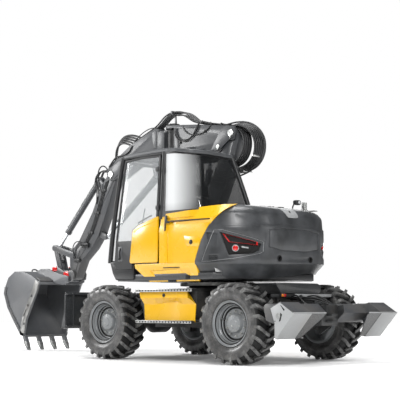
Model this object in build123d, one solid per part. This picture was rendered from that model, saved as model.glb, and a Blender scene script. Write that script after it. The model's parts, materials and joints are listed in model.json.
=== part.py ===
from build123d import *
import math
import os

# Wheeled excavator in millimetres: +Z up, +Y forward, X across with +X on the boom's side.
# Places are measured from the slew axis (X 0, Y 0) and the ground (Z 0). main() moves every
# piece by the same step along Y, so the written origin is the middle of the footprint.

# ---- overall ----
overall_width = 2400
wheelbase = 2500
deck_bottom = 1150         # underside of the upper structure
deck_top = 1240
body_width = 2300
body_top = 2190
tail_radius = 1460
tail_corner = 720
wall_joint = -600          # where the side walls meet the tail weight
wall = 60                  # thickness of the tail weight's walls
bucket_back = 4985         # foremost point
leg_reach = 913            # how far the stabilisers' feet stand behind the chassis
fit = 0.5                  # radial play of a pin in its bore
side_play = 0.6            # play of an eye between its lugs
door_gap = 10

# ---- wheels and axles ----
tyre_radius = 550
tyre_width = 440
rim_radius = 286           # bead seat
flange_radius = 310
rim_half = 185
kingpin_offset = 200       # kingpin to the wheel's middle plane
kingpin_radius = 38
hub_radius = 108
stub_radius = 60
axle_tube = 95
axle_mount_top = 790
wheel_y = wheelbase / 2
wheel_x = overall_width / 2 - tyre_width / 2
kingpin_x = wheel_x - kingpin_offset

# ---- chassis ----
rail_half = 330
chassis_bottom = 470
chassis_top = 905
chassis_front = wheel_y + 390
chassis_rear = -wheel_y - 190
tail_end = leg_reach - chassis_rear   # rearmost point, behind the slew axis
turret_radius = 470
ring_radius = 430
spigot_radius = 300
spigot_seat = 1100
step_half = wheel_y - 690  # half length of the steps between the wheels
step_out = overall_width / 2 - 30

# ---- blade and stabilisers, (Y, Z) ----
blade_low_pin = (chassis_front - 65, 600)
blade_arm_end = (chassis_front + 395, 740)
blade_link_rise = 180      # the upper links run this far above the arms
blade_arm_x = 356
blade_rear = chassis_front + 450
blade_bottom = 450
blade_top = 1000
stab_pin = (chassis_rear - 40, 584)
bracket_half = 185
foot_width = 400
tie_down_x = 385
tie_down_z = 850
tie_down_radius = 20

# ---- arm, (Y, Z) in the boom's own plane ----
arm_x = 310
boom_half = 100
fork_plate = 30
pin_radius = 42
boom_foot = (650, 1420)
knee = (-112, 3400)
offset_y = 1230            # vertical pivot of the front section
hose_arch = 3905           # top of the clamp over the offset pivot
offset_z = 3330            # height of the offset cylinder
stick_pin = (2560, 2990)
bucket_pin = (3560, 1325)
rocker_pin = (3581, 1667)
rocker_end = (4064, 1806)
coupler_pin = (3931, 1395)
bucket_half = 484
tooth_count = 4

# ---- cab ----
cab_left = -1140
cab_right = -95
cab_top = 3065
cab_wall = 55
cab_front = 1190           # lower front
cab_brow = 925             # upper front
cab_back = -790            # lower back
cab_back_top = -440
door_rear = 110
door_front = 1010
door_foot = 1310
floor_height = 55
roof_joint = cab_top - 105   # where the roof cap sits on the cell
glass = 6
skin = 40                  # thickness of the body panels

# ---- travel of the joints, degrees ----
lift_range = (-60, 5)
knee_range = (-5, 60)
offset_range = (-40, 40)
stick_range = (-22, 45)
bucket_range = (-50, 48)
blade_range = (-50, 0)
stab_range = (0, 48.7)

# ---- hydraulic cylinders ----
eye_half = 38
end_room = 62              # closed length left between the gland and the rod's pin
cylinders = {
    "lift": dict(base=(1010, 1345), eye=(560, 2330), barrel=56, rod=34, at=(arm_x - 172, arm_x + 172),
                 about=boom_foot, travel=lift_range, swing=1, pin=30),
    "knee": dict(base=(560, 2010), eye=(430, 3030), barrel=50, rod=32, at=(arm_x,),
                 about=knee, travel=knee_range, swing=1, pin=30),
    "stick": dict(base=(1560, 2900), eye=(2790, 1950), barrel=54, rod=34, at=(arm_x,),
                  about=stick_pin, travel=stick_range, swing=1, pin=30),
    "bucket": dict(base=(2989, 2940), eye=rocker_end, barrel=50, rod=30, at=(arm_x,),
                   about=rocker_pin, travel=bucket_range, swing=0.654, pin=28),
    "blade": dict(base=(chassis_front - 200, 850), eye=(chassis_front + 290, 740), barrel=44, rod=26, at=(-150, 150),
                  about=blade_low_pin, travel=blade_range, swing=1, pin=25),
}
# the offset cylinder lies in plan: (X, Y)
offset_base = (arm_x + 178, 360)
offset_eye = (arm_x + 178, 1240)
offset_barrel = 42
offset_rod = 26
offset_pin = 22


# ---------------------------------------------------------------- shapes
def block(x0, x1, y0, y1, z0, z1):
    return Pos((x0 + x1) / 2, (y0 + y1) / 2, (z0 + z1) / 2) * Box(abs(x1 - x0), abs(y1 - y0), abs(z1 - z0))


def across(points, x0, x1):
    """Side profile of (Y, Z) points, extruded from x0 to x1."""
    x0, x1 = sorted((x0, x1))
    line = Polyline(*[(x0, y, z) for y, z in points], close=True)
    return extrude(make_face(line), amount=x1 - x0, dir=(1, 0, 0))


def along(points, y0, y1):
    """Front profile of (X, Z) points, extruded from y0 to y1."""
    line = Polyline(*[(x, y0, z) for x, z in points], close=True)
    return extrude(make_face(line), amount=y1 - y0, dir=(0, 1, 0))


def upward(points, z0, z1):
    """Plan of (X, Y) points, extruded from z0 to z1."""
    line = Polyline(*[(x, y, z0) for x, y in points], close=True)
    return extrude(make_face(line), amount=z1 - z0, dir=(0, 0, 1))


def bar(start, end, radius):
    run = Vector(*end) - Vector(*start)
    return Solid.make_cylinder(radius, run.length, Plane(origin=start, z_dir=run))


def cross_bar(x0, x1, at, radius):
    x0, x1 = sorted((x0, x1))
    return bar((x0, at[0], at[1]), (x1, at[0], at[1]), radius)


def post(x, y, z0, z1, radius):
    return bar((x, y, z0), (x, y, z1), radius)


def link(x0, x1, a, b, ra, rb):
    """Plate with two round ends, from a to b in the (Y, Z) plane."""
    angle = math.atan2(b[1] - a[1], b[0] - a[0])
    ny, nz = -math.sin(angle), math.cos(angle)
    web = across([(a[0] + ny * ra, a[1] + nz * ra), (a[0] - ny * ra, a[1] - nz * ra),
                  (b[0] - ny * rb, b[1] - nz * rb), (b[0] + ny * rb, b[1] + nz * rb)], x0, x1)
    return web + cross_bar(x0, x1, a, ra) + cross_bar(x0, x1, b, rb)


def fused(pieces):
    whole = None
    for piece in pieces:
        whole = piece if whole is None else whole + piece
    return whole


def fork(x, pin_at, root, radius, thick=26, root_radius=None):
    """Two lug plates beside a cylinder's eye at x, from its pin back to their root."""
    plates = []
    for side in (-1, 1):
        inner = x + side * (eye_half + side_play)
        plates.append(link(inner, inner + side * thick, pin_at, root, radius, root_radius or radius))
    return fused(plates)


def turned(point, centre, degrees):
    angle = math.radians(degrees)
    dy, dz = point[0] - centre[0], point[1] - centre[1]
    return (centre[0] + dy * math.cos(angle) - dz * math.sin(angle),
            centre[1] + dy * math.sin(angle) + dz * math.cos(angle))


def reach(base, eye, about, travel, swing=1):
    """Shortest and longest pin distance of a cylinder over its joint's travel."""
    low, high = travel
    steps = [low + (high - low) * i / 20 for i in range(21)]
    lengths = [math.dist(base, turned(eye, about, swing * step)) for step in steps]
    return min(lengths), max(lengths)


def spun(profile, side, y):
    """Wheel-like solid: (outward, radius) points turned about the axle line."""
    line = Polyline(*[(side * (wheel_x + out), 0, r) for out, r in profile], close=True)
    return Pos(0, y, tyre_radius) * revolve(make_face(line), Axis.X)


# ---------------------------------------------------------------- wheels and axles
def tyre(side, y):
    half = tyre_width / 2
    outer = [(rim_half - 22, rim_radius + 0.4), (rim_half - 17, flange_radius + 1.5), (half - 20, 330),
             (half - 2, 390), (half, 440), (half - 15, 505), (half - 40, tyre_radius - 15), (half - 100, tyre_radius)]
    return spun(outer + [(-out, r) for out, r in reversed(outer)], side, y)


def rim(side, y):
    """Deep-dish rim with its planetary hub cap."""
    w = rim_half
    wheel = spun([(31, 0), (31, 262), (-w + 9, 274), (-w, 298), (-w, flange_radius), (-w + 15, flange_radius),
                  (-w + 20, rim_radius), (w - 20, rim_radius), (w - 15, flange_radius), (w, flange_radius),
                  (w, 298), (w - 9, 274), (60, 262), (47, 205), (47, 128), (104, 122), (112, 96),
                  (112, 62), (126, 56), (126, 0)], side, y)
    shaft = cross_bar(side * (wheel_x - stub_radius), side * (wheel_x + 40), (y, tyre_radius), stub_radius)
    return wheel + shaft


def hub_carrier(side, y):
    """Drum that the wheel's shaft turns in."""
    at = (y, tyre_radius)
    drum = cross_bar(side * (kingpin_x + 40), side * (wheel_x + 30.7), at, hub_radius)
    return drum - cross_bar(side * (wheel_x - stub_radius - fit), side * (wheel_x + 40), at, stub_radius + fit)


def knuckle(side, y):
    body = post(side * kingpin_x, y, tyre_radius - 118, tyre_radius + 118, 74)
    kingpin = post(side * kingpin_x, y, tyre_radius - 165, tyre_radius + 165, kingpin_radius)
    return body + kingpin + hub_carrier(side, y)


def axle_housing(y):
    z = tyre_radius
    half = kingpin_x - 118
    casing = [(-half, 0), (-half, axle_tube), (-255, axle_tube), (-125, 175), (125, 175), (255, axle_tube),
              (half, axle_tube), (half, 0)]
    line = Polyline(*[(x, 0, r) for x, r in casing], close=True)
    body = Pos(0, y, z) * revolve(make_face(line), Axis.X)
    return body + block(-160, 160, y - 120, y + 120, z + 150, axle_mount_top)


def front_axle():
    """Steering axle: housing with a yoke for each knuckle."""
    body = axle_housing(wheel_y)
    for side in (-1, 1):
        x = side * kingpin_x
        body += block(x - side * 130, x - side * 85, wheel_y - 70, wheel_y + 70, tyre_radius - 172, tyre_radius + 172)
        for up in (-1, 1):
            z = tyre_radius + up * 147
            body += block(x - side * 130, x, wheel_y - 60, wheel_y + 60, z - 25, z + 25)
            body += post(x, wheel_y, z - 25, z + 25, 66)
        body -= post(x, wheel_y, tyre_radius - 200, tyre_radius + 200, kingpin_radius + fit)
    return body


def rear_axle():
    """Rigid axle: housing with its two hub carriers."""
    body = axle_housing(-wheel_y)
    for side in (-1, 1):
        body += block(side * (kingpin_x - 130), side * (kingpin_x + 60), -wheel_y - 90, -wheel_y + 90,
                      tyre_radius - 110, tyre_radius + 110)
        body += hub_carrier(side, -wheel_y)
    return body


# ---------------------------------------------------------------- undercarriage
def chassis_frame():
    """Box frame with a notch over each axle, the slew turret and the blade's bay."""
    body = block(-rail_half, rail_half, chassis_rear, chassis_front, chassis_bottom, chassis_top)
    for y in (-wheel_y, wheel_y):
        body -= block(-rail_half - 1, rail_half + 1, y - 260, y + 260, chassis_bottom - 1, axle_mount_top)
    body += post(0, 0, chassis_top, 1060, turret_radius)
    body += post(0, 0, 1060, deck_bottom - 6, ring_radius)
    body -= post(0, 0, spigot_seat, deck_bottom, spigot_radius + fit)
    spec = cylinders["blade"]
    body -= block(-230, 230, spec["base"][0] - 60, chassis_front + 1, 560, chassis_top + 1)
    body += cross_bar(-231, 231, spec["base"], spec["pin"])
    for side in (-1, 1):
        for pin in (blade_low_pin, (blade_low_pin[0], blade_low_pin[1] + blade_link_rise)):
            body += cross_bar(side * (rail_half - 10), side * (blade_arm_x + 34), pin, 30)
        for y in (-400, 400):
            body += block(side * rail_half, side * 700, y - 60, y + 60, 700, 860)
    return body


def side_unit(side):
    """Steps, toolbox and the frame round them between the wheels of one side."""
    inner = side * 700
    box_out = side * (step_out - 45)
    unit = [
        block(inner, side * step_out, -step_half, step_half, 1008, 1034),
        block(side * (step_out - 240), side * step_out, -step_half + 10, step_half - 10, 560, 582),
        across([(-step_half + 10, 1008), (400, 1008), (400, 900), (245, 640), (-step_half + 60, 640),
                (-step_half + 10, 700)], inner, box_out),
        block(inner, side * (step_out - 60), 470, 495, 640, 1008),
        block(inner, side * (step_out - 200), 240, 495, 640, 700),
        block(side * (step_out - 215), side * (step_out - 120), -step_half + 90, 240, 582, 640),
        block(side * (step_out - 215), side * (step_out - 195), 240, 480, 582, 642),
    ]
    return fused(unit)


def tail_cover():
    """Raised cover behind the turret, standing on two webs."""
    cover = block(-505, 505, chassis_rear - 90, chassis_rear + 430, 1000, 1105)
    cover -= block(-480, 480, chassis_rear - 65, chassis_rear + 405, 999, 1085)
    webs = [block(side * 240, side * 290, chassis_rear + 40, chassis_rear + 380, chassis_top, 1085) for side in (-1, 1)]
    return cover + webs[0] + webs[1]


def behind(points):
    """(distance behind the chassis, height) points as (Y, Z)."""
    return [(chassis_rear - back, z) for back, z in points]


def rear_bracket():
    """Bracket behind the chassis with the stabilisers' hinge bar and the towing jaw."""
    rear = chassis_rear - 600
    body = block(-bracket_half, bracket_half, rear, chassis_rear - 40, 520, 800)
    body -= block(-bracket_half + 25, bracket_half - 25, rear + 25, chassis_rear - 60, 545, 801)
    body += block(-rail_half, rail_half, chassis_rear - 40, chassis_rear, 480, 900)
    for side in (-1, 1):
        # slot for the leg's inner arm, and a tie-down lug beyond the rail
        arm = bracket_half + 50
        body -= block(side * (arm - 21), side * (arm + 21), chassis_rear - 41, chassis_rear + 1,
                      stab_pin[1] - 95, stab_pin[1] + 70)
        body += block(side * (rail_half - 5), side * (rail_half + 100), chassis_rear - 40, chassis_rear, 795, 900)
        body -= bar((side * tie_down_x, chassis_rear - 41, tie_down_z), (side * tie_down_x, chassis_rear + 1, tie_down_z),
                    tie_down_radius)
    for side in (-1, 1):
        for x in (bracket_half + 18, rail_half - 13):
            body += link(side * (x - 12), side * (x + 12), stab_pin, (chassis_rear - 20, stab_pin[1]), 62, 62)
    body += cross_bar(-382, 382, stab_pin, 45)
    for z in (575, 665):
        body += block(-70, 70, rear - 85, rear + 1, z - 15, z + 15)
    return body - post(0, rear - 45, 500, 760, 20)


def stabiliser(side):
    """One swing-down leg: two arms, a folded beam and the foot with its sole."""
    near, far = side * (bracket_half + 16), side * overall_width / 2
    foot_in = side * (overall_width / 2 - foot_width)
    leg = [across(behind([(400, 770), (440, 812), (560, 815), (699, 690), (555, 560), (440, 600)]),
                  near, far - side * 30)]
    for x in (bracket_half + 50, rail_half + 21):
        leg.append(link(side * (x - 15), side * (x + 15), stab_pin, (chassis_rear - 470, 690), 60, 85))
    leg.append(across(behind([(680, 680), (545, 560), (280, 392), (305, 500), (460, 740)]), near, side * 222))
    leg.append(across(behind([(526, 764), (689, 835), (leg_reach, 693), (617, 356), (595, 380), (595, 560)]),
                      foot_in, far))
    return fused(leg) - cross_bar(side * (bracket_half - 60), side * 520, stab_pin, 45 + fit)


def blade():
    """Ribbed dozer blade with its four lugs."""
    half = overall_width / 2 - 12
    body = [across([(blade_rear, blade_bottom), (blade_rear, blade_top), (blade_rear + 18, blade_top),
                    (blade_rear + 30, 700), (blade_rear + 95, blade_bottom - 10),
                    (blade_rear + 60, blade_bottom - 10)], -half, half)]
    for side in (-1, 1):
        for rise in (0, blade_link_rise):
            at = (blade_arm_end[0], blade_arm_end[1] + rise)
            for x in (blade_arm_x - 33, blade_arm_x + 33):
                body.append(link(side * (x - 12), side * (x + 12), at, (blade_rear + 8, at[1]), 42, 42))
            body.append(cross_bar(side * (blade_arm_x - 45), side * (blade_arm_x + 45), at, 25))
    return fused(body)


def blade_arms():
    """Lower arms of the blade's parallel linkage, with the tube its cylinders push."""
    spec = cylinders["blade"]
    body = [link(side * (blade_arm_x - 20), side * (blade_arm_x + 20), blade_low_pin, blade_arm_end, 55, 40)
            for side in (-1, 1)]
    body.append(cross_bar(-blade_arm_x, blade_arm_x, (spec["eye"][0] - 10, spec["eye"][1] - 90), 38))
    for x in spec["at"]:
        body.append(fork(x, spec["eye"], (spec["eye"][0] - 10, spec["eye"][1] - 90), 40, 20))
    arms = fused(body)
    arms -= cross_bar(-500, 500, blade_low_pin, 30 + fit)
    return arms - cross_bar(-500, 500, blade_arm_end, 25 + fit)


def blade_links():
    """Upper pair of the blade's parallel linkage."""
    low = (blade_low_pin[0], blade_low_pin[1] + blade_link_rise)
    high = (blade_arm_end[0], blade_arm_end[1] + blade_link_rise)
    pair = fused([link(side * (blade_arm_x - 15), side * (blade_arm_x + 15), low, high, 45, 38) for side in (-1, 1)])
    pair -= cross_bar(-500, 500, low, 30 + fit)
    return pair - cross_bar(-500, 500, high, 25 + fit)


# ---------------------------------------------------------------- hydraulic cylinders
def barrel_and_rod(spec):
    """Barrels and rods of one cylinder or one pair, as a bored tube and a bar with an eye."""
    base, eye, pin = spec["base"], spec["eye"], spec["pin"]
    shortest, longest = reach(base, eye, spec["about"], spec["travel"], spec["swing"])
    shortest = min(shortest, math.dist(base, eye)) - 30
    longest += 30
    gland = shortest - end_room
    rod_length = longest - gland + 70
    unit = Vector(0, eye[0] - base[0], eye[1] - base[1]).normalized()
    barrels, rods = [], []
    for x in spec["at"]:
        a, b = Vector(x, *base), Vector(x, *eye)
        eye_radius = pin + 22
        tube = bar(tuple(a + unit * 70), tuple(a + unit * gland), spec["barrel"])
        tube += bar(tuple(a), tuple(a + unit * 72), 34)
        tube += cross_bar(x - eye_half, x + eye_half, base, eye_radius)
        tube += bar(tuple(a + unit * (gland - 45)), tuple(a + unit * gland), spec["barrel"] + 7)
        tube -= bar(tuple(a + unit * 85), tuple(a + unit * (gland + 1)), spec["rod"] + fit)
        tube -= cross_bar(x - eye_half - 1, x + eye_half + 1, base, pin + fit)
        barrels.append(tube)
        rod = bar(tuple(b - unit * rod_length), tuple(b), spec["rod"])
        rods.append(rod + cross_bar(x - eye_half, x + eye_half, eye, spec["rod"] + 14))
    return fused(barrels), fused(rods)


def offset_barrel_and_rod():
    x, y = offset_base
    pivot = (arm_x, offset_y)
    shortest, longest = reach(offset_base, offset_eye, pivot, offset_range)
    gland = shortest - 30 - end_room
    rod_length = longest + 30 - gland + 70
    tube = bar((x, y + 60, offset_z), (x, y + gland, offset_z), offset_barrel)
    tube += bar((x, y, offset_z), (x, y + 62, offset_z), 28)
    tube += post(x, y, offset_z - eye_half, offset_z + eye_half, offset_pin + 20)
    tube -= post(x, y, offset_z - eye_half - 1, offset_z + eye_half + 1, offset_pin + fit)
    tube -= bar((x, y + 75, offset_z), (x, y + gland + 1, offset_z), offset_rod + fit)
    end = offset_eye[1]
    rod = bar((x, end - rod_length, offset_z), (x, end, offset_z), offset_rod)
    return tube, rod + post(x, end, offset_z - eye_half, offset_z + eye_half, offset_rod + 12)


# ---------------------------------------------------------------- arm
def boom_base():
    """Lower boom: leans back from its foot beside the cab to the knee."""
    x0, x1 = arm_x - boom_half, arm_x + boom_half
    fy, fz = boom_foot
    ky, kz = knee
    body = across([(fy - 95, fz - 20), (fy + 60, fz - 75), (fy + 105, fz + 30), (640, 1850), (655, 2000),
                   (600, 2130), (640, 2330), (560, 2440), (330, 2700), (90, 3200), (ky + 90, kz + 40),
                   (ky, kz + 98), (ky - 90, kz + 40), (-235, 3300), (-150, 3050), (150, 2400), (fy - 230, 1850)],
                  x0, x1)
    body += cross_bar(x0, x1, boom_foot, 92)
    body += cross_bar(x0, x1, knee, 98)
    spec = cylinders["knee"]
    body -= across([(760, 1905), (760, 2150), (600, 2700), (250, 3330), (80, 3330), (230, 2800), (400, 2350),
                    (440, 1905)], arm_x - eye_half - side_play - 26, arm_x + eye_half + side_play + 26)
    body += fork(arm_x, spec["base"], (500, 1960), 56)
    body += cross_bar(x0, x1, spec["base"], spec["pin"])
    for x in cylinders["lift"]["at"]:
        side = math.copysign(1, x - arm_x)
        body += cross_bar(arm_x + side * boom_half, x - side * (eye_half + side_play), cylinders["lift"]["eye"], 58)
    body -= cross_bar(x0 - 1, x1 + 1, boom_foot, pin_radius + fit)
    return body - cross_bar(x0 - 1, x1 + 1, knee, pin_radius + fit)


def boom_mid():
    """Second boom section: forked at the knee, with the ears of the offset pivot."""
    ky, kz = knee
    inner = boom_half + side_play
    outer = inner + fork_plate
    side_plate = [(ky - 105, kz + 30), (ky - 60, kz + 105), (630, 3616), (1100, 3660), (1100, 3210), (900, 3160),
                  (300, 3120), (130, 3150), (ky + 60, kz - 105), (ky - 60, kz - 105)]
    body = [across(side_plate, arm_x + side * inner, arm_x + side * outer) for side in (-1, 1)]
    body.append(across([(330, 3562), (630, 3612), (1100, 3656), (1100, 3214), (900, 3164), (560, 3140)],
                       arm_x - inner, arm_x + inner))
    for z in (3230, 3640):
        body.append(block(arm_x - outer, arm_x + outer, 1090, offset_y, z - 20, z + 20))
        body.append(post(arm_x, offset_y, z - 20, z + 20, outer))
    body.append(post(arm_x, offset_y, 3190, 3690, 52))
    body.append(post(arm_x, offset_y, 3664, 3680, 95))
    # bracket and clamp that hold the hoses in an arch over the pivot
    body.append(across([(offset_y - 70, 3675), (offset_y - 30, 3675), (offset_y - 25, hose_arch - 50), (offset_y - 55, hose_arch - 50)],
                       arm_x - 6, arm_x + 6))
    body.append(block(arm_x - 95, arm_x + 95, offset_y - 57, offset_y - 23, hose_arch - 52, hose_arch))
    body.append(cross_bar(arm_x - outer - 12, arm_x + outer + 12, knee, pin_radius))
    spec = cylinders["knee"]
    body.append(fork(arm_x, spec["eye"], (470, 3190), 44, 22))
    body.append(across([(380, 3130), (380, 3210), (580, 3240), (580, 3136)], arm_x - inner, arm_x + inner))
    for up in (-1, 1):
        z = offset_z + up * (eye_half + side_play + 10)
        body.append(block(arm_x + outer, offset_base[0] + 40, offset_base[1] - 40, offset_base[1] + 40, z - 10, z + 10))
    body.append(post(*offset_base, offset_z - 55, offset_z + 55, offset_pin))
    return fused(body)


def boom_offset():
    """Front boom section that swings about the vertical pivot and carries the stick."""
    sy, sz = stick_pin
    inner = boom_half + side_play
    outer = inner + fork_plate
    start = offset_y + 215
    outline = [(start, 3290), (start, 3640), (1530, 3650), (2100, 3440), (sy + 70, sz + 140), (sy + 118, sz + 20),
               (sy + 60, sz - 100), (sy - 60, sz - 105), (2000, 3120), (1700, 3130)]
    body = [post(arm_x, offset_y, 3256, 3614, 98),
            across([(offset_y, 3262), (offset_y, 3608), (start + 30, 3600), (start + 30, 3310)],
                   arm_x - 88, arm_x + 88)]
    for side in (-1, 1):
        body.append(across(outline, arm_x + side * inner, arm_x + side * outer))
    body.append(across([(start, 3294), (start, 3636), (1530, 3646), (2100, 3436), (2190, 3395), (2130, 3150),
                        (2000, 3124), (1700, 3134)], arm_x - inner, arm_x + inner))
    body.append(cross_bar(arm_x - outer - 12, arm_x + outer + 12, stick_pin, pin_radius))
    spec = cylinders["stick"]
    body.append(fork(arm_x, spec["base"], (1640, 3180), 55))
    body.append(cross_bar(arm_x - 70, arm_x + 70, spec["base"], spec["pin"]))
    for up in (-1, 1):
        z = offset_z + up * (eye_half + side_play + 10)
        body.append(upward([(arm_x + 60, offset_y - 40), (offset_eye[0] - 20, offset_eye[1] - 42),
                            (offset_eye[0] + 42, offset_eye[1]), (offset_eye[0], offset_eye[1] + 42),
                            (arm_x + 88, start + 60)], z - 10, z + 10))
    return fused(body) - post(arm_x, offset_y, 3100, 3700, 52 + fit)


def stick():
    """Stick: tapers to the bucket pin, with lugs for the stick and bucket cylinders."""
    sy, sz = stick_pin
    py, pz = bucket_pin
    ry, rz = rocker_pin
    x0, x1 = arm_x - boom_half + 6, arm_x + boom_half - 6
    base = cylinders["bucket"]["base"]
    eye = cylinders["stick"]["eye"]
    body = across([(sy - 92, sz - 20), (sy - 40, sz + 86), (sy + 50, sz + 86), (2850, 2830), (3080, 2380),
                   (3420, 1900), (ry + 40, rz + 70), (ry + 75, rz), (py + 85, pz + 60), (py + 60, pz - 60),
                   (py - 60, pz - 50), (3350, 1565), (3095, 1765), (2920, 1975), (2800, 2220), (2640, 2560)], x0, x1)
    body += cross_bar(arm_x - boom_half, arm_x + boom_half, stick_pin, 88)
    body += cross_bar(x0, x1, bucket_pin, 82)
    body += fork(arm_x, eye, (2985, 2040), 48)
    body += fork(arm_x, base, (2830, 2760), 52, 26, 60)
    body += cross_bar(arm_x - 70, arm_x + 70, base, cylinders["bucket"]["pin"])
    body -= cross_bar(x0 - 20, x1 + 20, stick_pin, pin_radius + fit)
    body -= cross_bar(x0 - 20, x1 + 20, bucket_pin, 36 + fit)
    return body - cross_bar(x0 - 20, x1 + 20, rocker_pin, 32 + fit)


def rocker():
    """Pair of levers on the stick that the bucket cylinder pushes."""
    near, far = boom_half - 6 + 1, boom_half + 18
    body = [link(arm_x + side * near, arm_x + side * far, rocker_pin, rocker_end, 58, 50) for side in (-1, 1)]
    body.append(cross_bar(arm_x - far, arm_x + far, rocker_pin, 32))
    for side in (-1, 1):
        body.append(cross_bar(arm_x + side * (eye_half + side_play), arm_x + side * far, rocker_end, 34))
    return fused(body)


def dump_link():
    """Pair of links from the rocker's end down to the coupler."""
    near, far = eye_half + 4, 78
    body = [link(arm_x + side * near, arm_x + side * far, rocker_end, coupler_pin, 52, 48) for side in (-1, 1)]
    between = ((rocker_end[0] + coupler_pin[0]) / 2, (rocker_end[1] + coupler_pin[1]) / 2 - 30)
    body.append(cross_bar(arm_x - far, arm_x + far, between, 26))
    return fused(body) - cross_bar(arm_x - 90, arm_x + 90, rocker_end, 34 + fit)


coupler_inner = 119
bucket_bars = ((3655, 1235), (4080, 1335))


def coupler():
    """Quick coupler: two cheeks on the stick pin, hooked over the bucket's two bars."""
    py, pz = bucket_pin
    cy, cz = coupler_pin
    outline = [(py - 78, pz + 10), (py - 40, pz + 75), (py + 60, pz + 75), (3780, 1400), (cy - 50, cz + 62),
               (cy + 60, cz + 62), (4130, 1400), (4150, 1330), (4090, 1285), (3960, 1290), (3800, 1240),
               (3650, 1190), (py - 60, pz - 80)]
    cheeks = [across(outline, arm_x + side * coupler_inner, arm_x + side * (coupler_inner + 28)) for side in (-1, 1)]
    body = cheeks + [cross_bar(arm_x - coupler_inner - 28, arm_x + coupler_inner + 28, bucket_pin, 36)]
    for side in (-1, 1):
        body.append(cross_bar(arm_x + side * 80, arm_x + side * (coupler_inner + 1), coupler_pin, 34))
    body.append(block(arm_x - coupler_inner - 1, arm_x + coupler_inner + 1, 3730, 3930, 1262, 1290))
    whole = fused(body)
    for at in bucket_bars:
        whole -= cross_bar(arm_x - 200, arm_x + 200, at, 25 + fit)
    return whole


def bucket():
    """Backhoe bucket: wrapped shell, two cheeks, ears with their bars and the teeth."""
    back = [(4000, 1205), (4250, 1330), (4480, 1395), (4700, 1395), (4880, 1290), (4965, 1130),
            (bucket_back, 1010), (4880, 760), (4660, 480), (4490, 280), (4400, 255)]
    inside = [(4405, 285), (4475, 300), (4640, 500), (4855, 775), (bucket_back - 28, 1010), (4938, 1122),
              (4858, 1270), (4690, 1367), (4482, 1367), (4258, 1303), (4010, 1178)]
    body = [across(back + inside, arm_x - bucket_half, arm_x + bucket_half)]
    for side in (-1, 1):
        edge = arm_x + side * bucket_half
        body.append(across(back + [(4330, 560), (4060, 1040)], edge, edge - side * 25))
        body.append(across([(3590, 1200), (3590, 1300), (3700, 1320), (4000, 1390), (4130, 1440), (4330, 1440),
                            (4480, 1392), (4250, 1327), (4000, 1185), (3700, 1150)],
                           arm_x + side * 160, arm_x + side * 190))
    body.append(block(arm_x - bucket_half, arm_x + bucket_half, 3985, 4030, 1160, 1205))
    for at in bucket_bars:
        body.append(cross_bar(arm_x - 190, arm_x + 190, at, 25))
    pitch = (2 * bucket_half - 90) / (tooth_count - 1)
    for i in range(tooth_count):
        x = arm_x - bucket_half + 45 + i * pitch
        body.append(across([(4395, 262), (4470, 290), (4400, 120), (4318, 28), (4300, 28), (4330, 130)],
                           x - 34, x + 34))
    return fused(body)


# ---------------------------------------------------------------- upper structure
deck_plan = [(-body_width / 2 + skin, 620), (-1040, 1070), (-100, 1070), (-60, 1150), (560, 1150),
             (body_width / 2 - skin, 700), (body_width / 2 - skin, -900), (700, -1250), (-700, -1250),
             (-body_width / 2 + skin, -900)]


def upper_frame():
    """Deck with the slew spigot, the boom's lugs and the lift cylinders' lugs."""
    body = upward(deck_plan, deck_bottom, deck_top) + post(0, 0, spigot_seat, deck_bottom, spigot_radius)
    fy, fz = boom_foot
    for side in (-1, 1):
        near = arm_x + side * (boom_half + side_play)
        body += across([(fy - 300, deck_top - 5), (fy - 100, fz + 60), (fy, fz + 105), (fy + 100, fz + 30),
                        (fy + 130, deck_top - 5)], near, near + side * 26)
    body += cross_bar(arm_x - boom_half - 26, arm_x + boom_half + 26, boom_foot, pin_radius)
    spec = cylinders["lift"]
    for x in spec["at"]:
        body += fork(x, spec["base"], (spec["base"][0] - 20, deck_top), 54, 22)
        body += cross_bar(x - 55, x + 55, spec["base"], spec["pin"])
    return body


def tail_plan(inset, front=None):
    """Plan of the tail: straight sides, large round corners and a slightly bowed rear."""
    half, rear, corner = body_width / 2 - inset, tail_radius - inset, tail_corner - inset
    start = -(rear - corner) - 25
    left = [(-half, wall_joint if front is None else front), (-half, start)]
    for i in range(1, 10):
        angle = math.radians(10 * i)
        left.append((-half + corner * (1 - math.cos(angle)), start - (corner - 25) * math.sin(angle)))
    return left + [(0, -rear)] + [(-x, y) for x, y in reversed(left)]


def panel_zone(x0, x1, forward):
    """Everything ahead of the slanted joint between the left panel and the tail weight."""
    return across([(forward, 1100), (wall_joint, 1100), (wall_joint, 1400), (wall_joint - 95, 1700),
                   (wall_joint - 270, 1950), (wall_joint - 500, body_top + 1), (forward, body_top + 1)], x0, x1)


def counterweight():
    """Cast tail weight round the engine bay, with two lifting holes."""
    body = upward(tail_plan(70), 1160, 1330) + upward(tail_plan(0), 1330, body_top - 60)
    body += upward(tail_plan(35), body_top - 60, body_top)
    body -= upward(tail_plan(wall), deck_top, body_top - 60) & block(-1200, 1200, -1180, 0, deck_top, body_top - 60)
    body -= block(-90, body_width / 2 - wall, -900, 0, body_top - 61, body_top + 1)
    body -= block(-1200, -90, cab_back - 10, 0, body_top - 61, body_top + 1)
    body -= block(-body_width / 2 + skin, -90, cab_back - 10, 0, deck_top, body_top)
    body -= upward(deck_plan, deck_bottom - 1, deck_top)
    body -= panel_zone(-body_width, -body_width / 2 + 320, 0)
    for x, depth in ((-350, 120), (350, 126)):
        body -= bar((x, -tail_radius - 10, 1440), (x, -tail_radius + depth, 1440), 30)
    return body


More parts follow.
